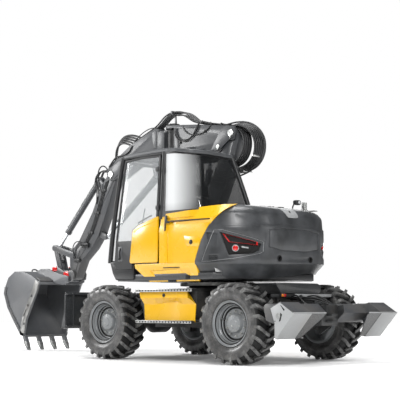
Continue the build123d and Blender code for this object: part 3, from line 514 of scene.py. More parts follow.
def treadedTyre():
    w = wheels
    cross = [(0.163, 0.2868), (0.168, 0.313), (0.186, 0.322), (0.200, 0.340), (0.2125, 0.378),
             (0.2165, 0.425), (0.213, 0.462),
             (0.203, 0.486), (0.180, 0.501), (0.130, 0.509), (0.0, w["carcassRadius"])]
    ring = cross + [(-x, q) for x, q in reversed(cross[:-1])]
    inner = [(-0.150, 0.300), (0.150, 0.300)]
    body = lathe(ring + inner, (0, 0, 0), (1, 0, 0), steps=96, edge=0)
    # raised moulding rings on the sidewall, and the rim strip over the bead
    rings = []
    for x0, q, wide in ((0.2155, 0.408, 0.0040), (0.2010, 0.345, 0.0050), (0.1905, 0.3265, 0.0055)):
        for way in (1, -1):
            edge = [(way * (x0 - 0.008), q - wide), (way * (x0 + 0.0025), q - wide * 0.6),
                    (way * (x0 + 0.0025), q + wide * 0.6),
                    (way * (x0 - 0.008), q + wide)]
            rings.append(lathe(edge, (0, 0, 0), (1, 0, 0), steps=80, edge=0))
    lug = treadLug()
    lugs = []
    for i in range(w["lugs"]):
        turn = Matrix.Rotation(math.tau * i / w["lugs"], 4, "X")
        lugs.append(twin(lug, turn))
        between = Matrix.Rotation(math.tau * (i + 0.5) / w["lugs"], 4, "X")
        lugs.append(twin(lug, between @ Matrix.Scale(-1, 4, (1, 0, 0))))
    bpy.data.objects.remove(lug)
    # dust-grey skin on each sidewall, from the bead to the shoulder
    walls = []
    for way in (1, -1):
        skin = [(0.176, 0.314), (0.187, 0.3215), (0.201, 0.340), (0.2137, 0.378), (0.2178, 0.425),
                (0.2143, 0.462), (0.2050, 0.484)]
        back = [(x - 0.004, q) for x, q in reversed(skin)]
        walls.append(lathe([(way * x, q) for x, q in (skin + back)[::way]], (0, 0, 0), (1, 0, 0), steps=96,
                           edge=0))
    return body, joined("treadLugs", lugs), joined("sidewalls", rings + walls)


def dishedRim():
    # outward is +X: deep dish, stepped flange, hub face with its bolts, and the planetary cap
    w = wheels
    face = [(0.031, 0.0), (0.031, 0.262), (-0.176, 0.274), (-0.185, 0.298), (-0.185, 0.310), (-0.174, 0.309),
            (-0.168, 0.288),
            (0.150, 0.286), (0.160, 0.292), (0.168, 0.3085), (0.181, 0.3100), (0.185, 0.3050),
            (0.183, 0.2985),
            (0.172, 0.2955), (0.164, 0.2820), (0.158, 0.2680), (0.120, 0.2620), (0.108, 0.2480),
            (0.062, 0.2420),
            (0.052, 0.2280), (0.047, 0.2000), (0.047, 0.1300), (0.052, 0.1240), (0.095, 0.1180),
            (0.104, 0.1120),
            (0.106, 0.0960), (0.112, 0.0920), (0.114, 0.0660), (0.122, 0.0600), (0.126, 0.0540), (0.126, 0.0)]
    dish = lathe(face, (0, 0, 0), (1, 0, 0), steps=80, edge=0.0012, smooth=28)
    extras = []
    for i in range(w["rimBolts"]):
        a = math.tau * (i + 0.5) / w["rimBolts"]
        spot = (0.047, math.cos(a) * w["boltCircle"], math.sin(a) * w["boltCircle"])
        extras.append(bolt(spot, (1, 0, 0), w["boltRadius"], 0.022))
        extras.append(rod((0.066, spot[1], spot[2]), (0.080, spot[1], spot[2]), 0.0075, sides=10, edge=0.001))
    for i in range(8):
        a = math.tau * i / 8
        spot = (0.104, math.cos(a) * 0.103, math.sin(a) * 0.103)
        extras.append(bolt(spot, (1, 0, 0), 0.0065, 0.009))
    # filler plug on the cap and the air valve in the dish
    extras.append(bolt((0.122, 0.030, 0.0), (1, 0, 0), 0.012, 0.010))
    valve = rod((0.050, 0.0, 0.214), (0.120, 0.0, 0.236), 0.006, sides=12, edge=0.001)
    # shaded bands: the well of the dish and the gap round the hub
    shade = [lathe([(0.1190, 0.2612), (0.0640, 0.2410), (0.0640, 0.2380), (0.1190, 0.2582)], (0, 0, 0),
                   (1, 0, 0), steps=80, edge=0),
             lathe([(0.1640, 0.2812), (0.1590, 0.2672), (0.1590, 0.2640), (0.1655, 0.2780)], (0, 0, 0),
                   (1, 0, 0), steps=80, edge=0),
             lathe([(0.0520, 0.2270), (0.0485, 0.2000), (0.0505, 0.2000), (0.0545, 0.2260)], (0, 0, 0),
                   (1, 0, 0), steps=80, edge=0)]
    return dish, joined("rimBolts", extras + [valve]), joined("rimShade", shade)


def buildWheels():
    tyre, lugs, walls = treadedTyre()
    dish, bolts, shade = dishedRim()
    for corner, (x, y, way) in wheelPlaces.items():
        # directional tread points the same way round on both sides
        turn = Matrix.Translation((x, y, wheels["tyreRadius"])) @ Matrix.Scale(way, 4, (1, 0, 0))
        spin = turn @ Matrix.Rotation(math.radians(7 + 31 * len(corner)), 4, "X")
        body = corner + "_wheel"
        finish(twin(tyre, spin), "treadedTyre_" + corner, tyreBlack, body, ["tyre_" + corner])
        finish(twin(lugs, spin), "treadLugs_" + corner, lugRubber, body)
        finish(twin(walls, spin), "sidewalls_" + corner, sideRubber, body)
        finish(twin(shade, spin), "rimShade_" + corner, darkInside, body)
        finish(twin(dish, spin), "dishedRim_" + corner, wheelPaint, body, ["wheel_" + corner])
        finish(twin(bolts, spin), "rimBolts_" + corner, zincSteel, body)
    for obj in (tyre, lugs, walls, dish, bolts, shade):
        bpy.data.objects.remove(obj)


buildWheels()
print("wheels built")


# ---- tail weight, left panel and hood
tail = {
    "halfWidth": 1.15, "straight": 0.765, "cornerX": 0.72, "cornerY": 0.695, "arc": 1.111, "rearRun": 0.86,
    # how far the skin leans in at each height
    "lean": [(1.160, 0.125), (1.200, 0.100), (1.290, 0.045), (1.345, 0.016), (1.362, 0.003), (1.500, 0.0),
             (1.840, 0.0),
             (1.885, 0.004), (1.905, 0.016), (2.040, 0.026), (2.070, 0.040), (2.120, 0.085), (2.150, 0.140),
             (2.170, 0.210), (2.183, 0.300), (2.1885, 0.400)],
    "skin": 0.030,
    "joint": [(0.600, 1.16), (0.600, 1.40), (0.633, 1.484), (0.722, 1.687), (0.866, 1.901), (0.946, 1.966),
              (1.022, 2.032), (1.108, 2.098), (1.20, 2.146), (1.30, 2.188)],
    "rightEnd": 4.012,
    "namePlate": [(1.744, 1.821), (1.748, 1.592), (2.03, 1.548), (2.58, 1.548), (2.864, 1.592),
                  (2.868, 1.821),
                  (2.58, 1.862), (2.03, 1.862)],
    "lampBezel": [(0.930, 1.826), (1.060, 1.830), (1.674, 1.660), (1.660, 1.520), (1.600, 1.490),
                  (1.244, 1.416),
                  (0.850, 1.386), (0.712, 1.388)],
    "lampPocket": [(1.022, 1.792), (1.625, 1.628), (1.590, 1.540), (1.492, 1.492), (1.150, 1.474)],
    "lampRing": [(1.075, 1.762), (1.560, 1.650), (1.560, 1.607), (1.160, 1.650)],
    "fogLamp": (1.250, 1.566),
    "holeX": 0.35, "holeZ": 1.44, "holeRadius": 0.030,
    # where the underside starts to rise, how quickly, and by how much up to which height
    "riseFrom": 1.90, "riseRun": 0.90, "riseEnd": 0.20, "riseBy": 0.085, "riseTop": 1.42, "riseDepth": 0.22,
}


def tailSpot(u, inset=0.0):
    # plan point (X, Y from the slew axis) at the distance u along the tail's outline
    t = tail
    w, cx, cy = t["halfWidth"] - inset, t["cornerX"] - inset, t["cornerY"] - inset
    bendEnd = t["straight"] + t["arc"]
    if u <= t["straight"]:
        return -w, -u
    if u <= bendEnd:
        a = (u - t["straight"]) / t["arc"] * math.pi / 2
        return -w + cx * (1 - math.cos(a)), -t["straight"] - cy * math.sin(a)
    if u <= bendEnd + t["rearRun"]:
        return -t["rearRun"] / 2 + u - bendEnd, -t["straight"] - t["cornerY"] + inset
    x, y = tailSpot(2 * bendEnd + t["rearRun"] - u, inset)
    return -x, y


def clamped(value):
    # held between 0 and 1
    return min(max(value, 0.0), 1.0)


def leanAt(z):
    steps = tail["lean"]
    for (z0, a), (z1, b) in zip(steps, steps[1:]):
        if z <= z1:
            return a + (b - a) * max(0.0, (z - z0)) / (z1 - z0)
    return steps[-1][1]


def slices(obj, axis, places):
    # cuts extra edges through the mesh so that it can bend
    openMesh(obj)
    way = {"x": (1, 0, 0), "y": (0, 1, 0), "z": (0, 0, 1)}[axis]
    for place in places:
        bpy.ops.mesh.select_all(action="SELECT")
        bpy.ops.mesh.bisect(plane_co=tuple(w * place for w in way), plane_no=way)
    closeMesh()
    return obj


def wrapOnTail(obj, gap=0.07, lean=True, smooth=38):
    # flat work (x along the outline, y outward, z up) bent round the tail
    xs = [v.co.x for v in obj.data.vertices]
    zs = [v.co.z for v in obj.data.vertices]
    low, high = min(xs), max(xs)
    bendEnd = tail["straight"] + tail["arc"]
    total = 2 * bendEnd + tail["rearRun"]
    cuts = []
    for start, end in ((tail["straight"], bendEnd), (total - bendEnd, total - tail["straight"])):
        n = round((end - start) / gap)
        cuts += [start + (end - start) * i / n for i in range(n + 1)]
    slices(obj, "x", [c for c in cuts if low + 0.004 < c < high - 0.004])
    if lean:
        slices(obj, "z", [z for z, _ in tail["lean"] if min(zs) + 0.003 < z < max(zs) - 0.003])
    for vert in obj.data.vertices:
        u, out, z = vert.co
        x, y = tailSpot(u, (leanAt(z) if lean else 0.0) - out)
        # the underside rises toward the tail's middle and right
        rise = clamped((u - tail["riseFrom"]) / tail["riseRun"])
        rise *= clamped((total - tail["riseEnd"] - u) / tail["riseRun"])
        lift = tail["riseBy"] * rise * rise * (3 - 2 * rise)
        lift *= clamped((tail["riseTop"] - z) / tail["riseDepth"])
        vert.co = at(x, y, z + lift)
    outward(obj)
    return smoothBy(obj, smooth)


def flat(points, low, high, edge=0.0, steps=2, corner=32):
    return profile(points, "y", low, high, edge, steps, corner)


def carve(obj, cutter):
    bake(obj, "BOOLEAN", operation="DIFFERENCE", solver="EXACT", object=cutter)
    bpy.data.objects.remove(cutter)
    return obj


def inward(points, by):
    # the same outline drawn in towards its middle
    cx = sum(p[0] for p in points) / len(points)
    cz = sum(p[1] for p in points) / len(points)
    moved = []
    for x, z in points:
        d = math.hypot(x - cx, z - cz)
        moved.append((x + (cx - x) / d * by, z + (cz - z) / d * by))
    return moved


def ringOf(points, wide, low, high):
    # a closed frame along an outline
    return carve(flat(points, low, high), flat(inward(points, wide), low - 0.01, high + 0.01))


def buildTailWeight():
    t = tail
    outline = t["joint"] + [(t["rightEnd"], 2.1885), (t["rightEnd"], 1.16)]
    skin = flat(outline, -t["skin"], 0.0)
    carve(skin, flat(t["namePlate"], -0.011, 0.02))
    carve(skin, flat(t["lampBezel"], -0.007, 0.02))
    carve(skin, flat(t["lampPocket"], -0.026, 0.02))
    # L-shaped pull pocket and cooling slots
    carve(skin, flat([(0.815, 1.792), (0.990, 1.778), (0.990, 1.745), (0.885, 1.748), (0.868, 1.690),
                      (0.838, 1.690)], -0.022, 0.02))
    for i in range(3):
        carve(skin, flat([(0.862, 1.474 - i * 0.020), (0.994, 1.470 - i * 0.020), (0.994, 1.460 - i * 0.020),
                          (0.862, 1.464 - i * 0.020)], -0.022, 0.02))
    middle = t["straight"] + t["arc"] + t["rearRun"] / 2
    for way in (-1, 1):
        u = middle + way * t["holeX"]
        drill = rod((u, 0.05, t["holeZ"]), (u, -0.06, t["holeZ"]), t["holeRadius"] + 0.004, edge=0)
        carve(skin, drill)
    # the right side carries the same pocket for its own lamp
    far = 2 * middle
    carve(skin, flat([(far - u, z) for u, z in reversed(t["lampBezel"])], -0.007, 0.02))
    carve(skin, flat([(far - u, z) for u, z in reversed(t["lampPocket"])], -0.026, 0.02))
    softEdges(skin, 0.004, 2, 40)
    wrapOnTail(skin)
    finish(skin, "tailWeightSkin", castPaint, "upper", ["counterweight"])

    # top deck of the tail, and the floor of the bay under the hood
    rim = [tailSpot(1.30 + (far - 2.0 - 1.30 + 0.70) * i / 40, 0.392) for i in range(41)]
    rim = [p for p in rim if p[1] < -0.93]
    deck = profile([(x, slewY + y) for x, y in [(-0.745, -0.705), (-0.09, -0.705), (-0.09, -0.905),
                                                (0.745, -0.905)]
                    + list(reversed(rim))], "z", 2.150, 2.1885, 0.004)
    finish(deck, "tailTopDeck", castPaint, "upper")
    inner = profile([(x, slewY + y) for x, y in ((-1.08, -0.70), (-0.62, -1.20), (0.62, -1.20), (1.08, -0.70),
                                                 (1.08, -0.62), (-1.08, -0.62))],
                    "z", 1.165, 1.245, 0.006)
    finish(inner, "tailFloor", castPaint, "upper")

    # bare name field, its raised border and the belt line over it
    plate = flat(inward(t["namePlate"], 0.012), -0.012, -0.006, 0.003)
    border = ringOf(inward(t["namePlate"], -0.016), 0.012, -0.004, 0.004)
    softEdges(border, 0.002, 1, 30)
    belt = flat([(1.05, 1.876), (1.744, 1.886), (2.03, 1.926), (2.58, 1.926), (2.87, 1.886), (3.55, 1.876),
                 (3.55, 1.868),
                 (2.87, 1.878), (2.58, 1.917), (2.03, 1.917), (1.744, 1.878), (1.05, 1.868)], -0.004, 0.0042,
                 0.002)
    finish(wrapOnTail(joined("tailTrim", [plate, border, belt])), "tailNameField", castPaint, "upper")

    # pale inspection plate with its dark plug, up by the edge
    seat = flat([(2.094, 2.150), (2.420, 2.156), (2.404, 2.036), (2.374, 2.020), (2.186, 2.016),
                 (2.160, 2.030)], -0.006, 0.008, 0.004)
    finish(wrapOnTail(seat), "inspectionPlate", palePaint, "upper")
    plug = rod((2.262, 0.004, 2.104), (2.262, 0.012, 2.104), 0.016, sides=20, edge=0.002)
    finish(wrapOnTail(plug), "inspectionPlug", sealRubber, "upper")
    # near-black painted shade lining each lifting hole, and a disc of it closing the hole at the back
    tube = []
    for way in (-1, 1):
        tube.append(lathe([(0.0, t["holeRadius"]), (0.0, t["holeRadius"] + 0.014),
                           (0.007, t["holeRadius"] + 0.012), (0.009, t["holeRadius"] + 0.002),
                           (-0.004, t["holeRadius"]),
                           (-0.11, t["holeRadius"]), (-0.11, t["holeRadius"] + 0.004)],
                          at(way * t["holeX"], -1.4605, t["holeZ"]), (0, -1, 0), 40))
        tube.append(rod(at(way * t["holeX"], -1.345, t["holeZ"]), at(way * t["holeX"], -1.351, t["holeZ"]),
                        t["holeRadius"] + 0.004, edge=0))
    finish(tube, "liftingHoleShade", darkInside, "upper")

    # tail lamps: smoked base, bright red open ring, round fog lamp and a reflector; both corners
    smoke, reds, bright = [], [], []
    base = flat(inward(t["lampPocket"], 0.006), -0.030, -0.022, 0.002)
    smoke.append(base)
    smoke.append(flat([(1.19, 1.640), (1.50, 1.590), (1.46, 1.520), (1.30, 1.500), (1.17, 1.500)], -0.024,
                      -0.012, 0.004))
    ring = ringOf(t["lampRing"], 0.016, -0.022, 0.003)
    reds.append(softEdges(ring, 0.003, 2, 30))
    u, z = t["fogLamp"]
    reds.append(rod((u, -0.022, z), (u, 0.004, z), 0.037, sides=32, edge=0.005))
    bright.append(ringOf([(u + 0.047 * math.cos(a * math.tau / 24), z + 0.047 * math.sin(a * math.tau / 24))
                          for a in range(24)], 0.008, -0.022, 0.000))
    bright.append(flat([(1.335, 1.594), (1.430, 1.580), (1.430, 1.560), (1.335, 1.572)], -0.02, -0.004,
                       0.003))
    # thin pale line inside the bezel
    bright.append(ringOf(inward(t["lampBezel"], 0.012), 0.005, -0.007, -0.003))
    for name, group, mat in (("tailLampBase", smoke, darkInside), ("tailLampRed", reds, redLens),
                             ("tailLampBright", bright, palePaint)):
        whole = joined(name, group)
        other = whole.copy()
        other.data = whole.data.copy()
        bpy.context.scene.collection.objects.link(other)
        for vert in other.data.vertices:
            vert.co.x = far - vert.co.x
        other.data.flip_normals()
        wrapOnTail(whole)
        wrapOnTail(other)
        finish([whole, other], name, mat, "upper")


buildTailWeight()
print("tail weight built")

leftPanel = {
    "front": -0.094, "foot": 1.388,
    "top": [(-0.094, 1.905), (-0.072, 2.078), (0.30, 2.132), (0.532, 2.152), (0.916, 2.170), (1.288, 2.1885)],
    "doorSlot": [(0.110, 1.990), (0.870, 1.985), (0.870, 1.969), (0.110, 1.958)],
}


def buildLeftPanel():
    p = leftPanel
    seam = [(u - 0.010, z) for u, z in tail["joint"] if z > 1.39]
    outline = [(p["front"], p["foot"])] + p["top"] + list(reversed(seam)) + [(0.588, p["foot"])]
    skin = flat(outline, -0.034, 0.0)
    carve(skin, flat(p["doorSlot"], -0.024, 0.02))
    # fold under the slot: the lower cover stands a little proud of the shoulder
    carve(skin, flat([(0.066, 1.958), (0.076, 1.958), (0.076, 1.38), (0.066, 1.38)], -0.010, 0.02))
    softEdges(skin, 0.0045, 2, 38)
    slices(skin, "x", [0.1 * i for i in range(0, 12)])
    slices(skin, "z", [1.43, 1.50, 1.60, 1.70, 1.80, 1.88, 1.93])
    # pressed shape: the cover's middle swells and its foot turns in
    for vert in skin.data.vertices:
        u, out, z = vert.co
        if z < 1.96 and u > 0.08:
            swell = math.sin(math.pi * min(max((z - 1.388) / 0.58, 0), 1)) * 0.010
            vert.co.y += -0.012 + swell
    for vert in skin.data.vertices:
        u, out, z = vert.co
        x, y = tailSpot(u, leanAt(max(z, 1.5)) * (0.55 if z > 1.95 else 1.0) - out)
        vert.co = at(x, y, z)
    outward(skin)
    smoothBy(skin, 32)
    finish(skin, "leftServicePanel", yellowPaint, "upper", ["left_panel"])

    # near-black sheet of painted shade behind the panel that closes the slot and the seams
    panelShadeSheet = flat([(p["front"] + 0.02, p["foot"] + 0.01), (p["front"] + 0.02, 1.89), (0.0, 2.05), (0.5, 2.12),
                   (1.0, 2.12), (0.86, 1.93),
                   (0.70, 1.68), (0.60, 1.42)], -0.038, -0.030)
    slices(panelShadeSheet, "x", [0.1 * i for i in range(0, 10)])
    finish(wrapOnTail(panelShadeSheet), "leftPanelShadeSheet", darkInside, "upper")

    # black grab lip in the slot, the door latch, and the round lock on its raised pad
    lip = flat([(0.118, 1.984), (0.862, 1.981), (0.862, 1.973), (0.118, 1.972)], -0.026, 0.003, 0.002)
    latch = flat([(0.028, 2.064), (0.066, 2.064), (0.070, 1.985), (0.112, 1.978), (0.112, 1.952),
                  (0.040, 1.952),
                  (0.034, 1.845), (0.014, 1.845)], -0.006, 0.012, 0.003)
    finish(wrapOnTail(joined("panelLatch", [lip, latch]), lean=False), "panelLatch", blackPlastic, "upper")
    pad = flat([(0.39, 1.760), (0.66, 1.735), (0.70, 1.70), (0.69, 1.63), (0.66, 1.600), (0.45, 1.620),
                (0.42, 1.65)], -0.008, 0.0025, 0.002)
    finish(wrapOnTail(pad, lean=False), "lockPad", yellowPaint, "upper")
    lock = [rod((0.530, -0.004, 1.668), (0.530, 0.006, 1.668), 0.034, sides=32, edge=0.003),
            box(0.518, 0.542, 0.004, 0.011, 1.648, 1.688, 0.003)]
    finish(wrapOnTail(joined("lock", lock), lean=False), "panelLock", blackPlastic, "upper")

    # tucked yellow skirt with its pressed panel, from the cab's foot to the tail
    skirt = sideProfile([(0.600, 1.388), (-0.600, 1.388), (-0.628, 1.30), (-0.640, 1.128), (0.335, 1.128),
                         (0.600, 1.330)], -1.150, -1.112, 0.0)
    carve(skirt, sideProfile([(0.30, 1.285), (-0.28, 1.305), (-0.44, 1.215), (-0.36, 1.160), (0.14, 1.160)],
                             -1.30, -1.138, 0.0))
    softEdges(skirt, 0.006, 2, 30)
    for vert in skirt.data.vertices:
        vert.co.x += (1.388 - vert.co.z) * 0.22
    finish(skirt, "leftSkirt", yellowPaint, "upper")
    # near-black boxes of painted shade in the slots under the panel fold
    slot = [slewBox(-1.143, -1.11, -0.30, 0.02, 1.318, 1.330, 0.003)]
    slot += [slewBox(-1.104, -1.080, -0.20, -0.04, 1.1275, 1.152, 0.003),
             slewBox(-1.124, -1.100, -0.47, -0.40, 1.160, 1.215, 0.006)]
    finish(slot, "skirtSlotShade", darkInside, "upper")


buildLeftPanel()
print("left panel built")


def buildHood():
    # two-step lid with a sunken grille over the engine and its lifting grip
    body = softCopy("engine_hood", 0.010, 3)
    grille = profile([(0.05, slewY - 0.80), (1.02, slewY - 0.80), (1.02, slewY - 0.34), (0.05, slewY - 0.34)],
                     "z", 2.222, 2.30, 0.0)
    carve(body, grille)
    finish(body, "engineLid", greyPlastic, "hood", ["engine_hood"])
    bars = []
    for i in range(22):
        x = 0.075 + i * 0.0438
        bars.append(slewBox(x, x + 0.016, -0.79, -0.35, 2.2205, 2.2255, 0.0015, 1))
    bars.append(slewBox(0.06, 1.01, -0.575, -0.565, 2.2205, 2.2257, 0.001, 1))
    finish(bars, "lidGrille", blackPlastic, "hood")
    grip = slewHose([(0.46, -0.262, 2.226), (0.46, -0.262, 2.262), (0.58, -0.262, 2.262),
                     (0.58, -0.262, 2.226)], 0.008)
    finish(grip, "lidGrip", blackPlastic, "hood")
    # exhaust outlet: a pipe in its collar on the fixed deck
    pipe = lathe([(0.0, 0.036), (0.0, 0.052), (0.012, 0.052), (0.016, 0.039), (0.13, 0.039), (0.13, 0.034),
                  (0.02, 0.034)],
                 at(0.78, -1.03, 2.188), (0, 0, 1), 32)
    finish(pipe, "exhaustOutlet", zincSteel, "upper")
    # rear camera pod on its stalk
    pod = [slewHose([(0.28, -1.20, 2.186), (0.28, -1.20, 2.25), (0.30, -1.26, 2.27)], 0.010),
           slewBox(0.245, 0.355, -1.305, -1.225, 2.235, 2.305, 0.022, 3)]
    finish(pod, "rearCamera", blackPlastic, "upper")
    finish(rod(at(0.30, -1.303, 2.270), at(0.30, -1.312, 2.270), 0.020, edge=0.002), "rearCameraLens",
           clearLens, "upper")


buildHood()
print("hood built")


# ---- cab: cell, wrap-round glazing, roof, door and inside
cab = {
    "left": -1.136, "right": -0.104, "lean": 0.060,      # the sides lean in by this much from foot to roof
    "foot": 2.080, "head": 3.005, "rear": -0.800, "rearTop": -0.445,
    "bendX": 0.40, "bendY": 0.34, "pillarY": 0.045,
    "crown": [(1.02, 3.026), (0.95, 3.036), (0.60, 3.058), (0.15, 3.066), (-0.15, 3.052), (-0.47, 3.000)],
}


def crownAt(y):
    # roof height over the cab at a distance forward of the slew axis
    steps = cab["crown"]
    if y >= steps[0][0]:
        return steps[0][1]
    for (y0, a), (y1, b) in zip(steps, steps[1:]):
        if y >= y1:
            return b + (a - b) * (y - y1) / (y0 - y1)
    return steps[-1][1]


def cabPlan(z, inset=0.0):
    # left side, rear wall and corner radii of the glasshouse at one height
    t = (z - cab["foot"]) / (3.0 - cab["foot"])
    left = cab["left"] + 0.004 + cab["lean"] * t + inset
    rear = cab["rear"] + (cab["rearTop"] - cab["rear"]) * t + inset
    return left, rear, cab["bendX"] - inset, cab["bendY"] - inset


def cabSpot(u, z, inset=0.0):
    # u runs from the door pillar backward, round the corner and along the rear wall (0 to 1 each)
    left, rear, bx, by = cabPlan(z, inset)
    start = cab["pillarY"]
    if u <= 1:
        return left, start + (rear + by - start) * max(u, 0.0)
    if u <= 2:
        a = (u - 1) * math.pi / 2
        return left + bx * (1 - math.cos(a)), rear + by * (1 - math.sin(a))
    end = cab["right"] - cab["lean"] * (z - cab["foot"]) / 0.92 - inset * 0.5
    return left + bx + (end - left - bx) * (u - 2), rear


def wrapOnCab(obj, smooth=40):
    # flat work (x is u, y outward, z height as a share of foot to roof) bent round the glasshouse
    slices(obj, "x", [0.5] + [1 + i / 12 for i in range(13)] + [2.25, 2.5, 2.75])
    slices(obj, "z", [0.2, 0.4, 0.6, 0.8])
    for vert in obj.data.vertices:
        u, out, share = vert.co
        z = cab["foot"] + (cab["head"] - cab["foot"]) * share
        _, yNow = cabSpot(u, z)
        z += (crownAt(yNow) - 3.050) * max(share, 0.0) ** 2
        x, y = cabSpot(u, z, -out)
        vert.co = at(x, y, z)
    outward(obj)
    return smoothBy(obj, smooth)


def buildCell():
    c = cab
    cell = softCopy("cab_frame", 0.010, 2)
    for x0, x1, y0, y1, z0, z1 in ((-1.3, 0.1, -2.4, 0.2, 2.085, 3.3), (-1.3, 0.1, -0.35, 0.2, 1.44, 3.3),
                                   (-1.3, -1.0, -1.35, -1.1, 1.6, 3.3)):
        carve(cell, box(x0, x1, y0, y1, z0, z1, 0))
    finish(cell, "cabLowerCell", cabPaint, "upper", ["cab_frame"])
    # lower left corner beside the step, with its rounded foot
    corner = sideProfile([(0.64, 1.165), (1.02, 1.165), (1.085, 1.26), (1.150, 1.44), (1.03, 1.44),
                          (1.02, 1.388), (0.64, 1.388)], c["left"], c["left"] + 0.11, 0.018, 3)
    finish(corner, "cabFoot", cabPaint, "upper")

    # pillars: slim round-shouldered members
    posts = []
    for x, xt in ((c["left"] + 0.030, c["left"] + 0.092), (c["right"] - 0.030, c["right"] - 0.092)):
        front = [(x, 1.165, 1.42), (x, 1.130, 1.80), (x + (xt - x) * 0.85, 0.992, 2.86), (xt, 0.955, 2.985)]
        posts.append(hose([at(px, py, pz) for px, py, pz in front], 0.036, 6))
    x, xt = c["left"] + 0.030, c["left"] + 0.090
    posts.append(slewHose([(x, 0.085, 2.02), (x + 0.01, 0.085, 2.3), (xt, 0.085, 3.00)], 0.038, 6))
    x, xt = c["right"] - 0.028, c["right"] - 0.092
    posts.append(slewHose([(x, 0.16, 1.85), (x - 0.01, 0.16, 2.3), (xt, 0.16, 3.00)], 0.034, 6))
    posts.append(slewHose([(x, -0.765, 2.09), (x - 0.022, -0.66, 2.42), (xt, -0.440, 2.985)], 0.034, 6))
    ring = [(c["left"] + 0.098, 0.94), (c["left"] + 0.098, -0.25), (c["left"] + 0.22, -0.42),
            (c["right"] - 0.098, -0.43), (c["right"] - 0.098, 0.94)]
    posts.append(hose([at(px, py, crownAt(py) - 0.055) for px, py in ring + ring[:1]], 0.036, 6))
    posts.append(slewHose([(c["left"] + 0.06, 1.150, 1.425), (c["right"] - 0.06, 1.150, 1.425)], 0.030, 6))
    finish(posts, "cabPillars", blackPlastic, "upper")

    # sill rail that carries the foot of the wrap-round glass
    sill = flat([(-0.02, -0.030), (2.98, -0.030), (2.98, 0.055), (-0.02, 0.055)], -0.034, 0.001)
    finish(wrapOnCab(sill), "glassSill", sealRubber, "upper")
    # body skirt below the glass, seen through the gap behind the tail
    skirtRows = flat([(1.35, -0.95), (2.98, -0.95), (2.98, -0.02), (1.35, -0.02)], -0.060, -0.034)
    slices(skirtRows, "z", [-0.2, -0.5])
    for vert in skirtRows.data.vertices:
        vert.co.z = max(vert.co.z, -0.9)
    finish(wrapOnCab(skirtRows), "cabRearWall", cabPaint, "upper")


def buildGlass():
    c = cab
    # one bent pane from the door pillar round to the rear right pillar, printed black at its rim
    pane = flat([(0.03, 0.03), (2.97, 0.03), (2.97, 0.985), (0.03, 0.985)], -0.009, -0.003)
    finish(wrapOnCab(pane), "rearWrapGlass", smokeGlass, "upper", ["cab_glass"])
    rim = flat([(0.015, 0.015), (2.985, 0.015), (2.985, 1.0), (0.015, 1.0)], -0.003, 0.000)
    carve(rim, flat([(0.10, 0.040), (2.85, 0.040), (2.85, 0.945), (0.10, 0.945)], -0.02, 0.02))
    finish(wrapOnCab(rim), "glassPrintedRim", sealRubber, "upper")

    # yellow flange that closes the panel against the foot of the pane
    flange = flat([(0.13, -0.060), (1.42, -0.060), (1.42, 0.045), (1.10, 0.040), (0.13, 0.010)], -0.014,
                  0.002)
    finish(wrapOnCab(flange), "panelTopFlange", yellowPaint, "upper")

    # windscreen and the two right-hand panes
    front = [((c["left"] + 0.055), 1.160, 1.44), (c["right"] - 0.055, 1.160, 1.44),
             (c["right"] - 0.055, 1.126, 1.80),
             (c["right"] - 0.115, 0.972, 2.965), (c["left"] + 0.115, 0.972, 2.965),
             (c["left"] + 0.055, 1.126, 1.80)]
    screen = sheet([at(x, y, z) for x, y, z in front], 0.006)
    right = []
    r, rt = c["right"] - 0.012, c["right"] - 0.074
    for quad in ([(0.96, 1.90), (1.07, 1.92), (0.95, 2.95), (0.19, 3.0), (0.19, 1.90)],
                 [(0.13, 2.10), (0.13, 3.0), (-0.42, 2.95), (-0.745, 2.10)]):
        right.append(sheet([at(r + (rt - r) * (z - 2.0) / 1.0, y, z) for y, z in quad], 0.006))
    finish([screen] + right, "cabFrontAndRightGlass", clearGlass, "upper")
    # wiper across the windscreen
    wiper = [slewHose([(-0.62, 1.178, 1.45), (-0.50, 1.135, 1.95)], 0.006),
             slewHose([(-0.53, 1.160, 1.70), (-0.47, 1.085, 2.28)], 0.008)]
    finish(wiper, "windscreenWiper", blackPlastic, "upper")


def sheet(corners, thick):
    # a flat or near flat pane through its corners
    bpy.ops.mesh.primitive_circle_add(vertices=len(corners), radius=1, fill_type="NGON")
    pane = bpy.context.object
    for vert, place in zip(pane.data.vertices, corners):
        vert.co = place
    bake(pane, "SOLIDIFY", thickness=thick, offset=0)
    outward(pane)
    return pane


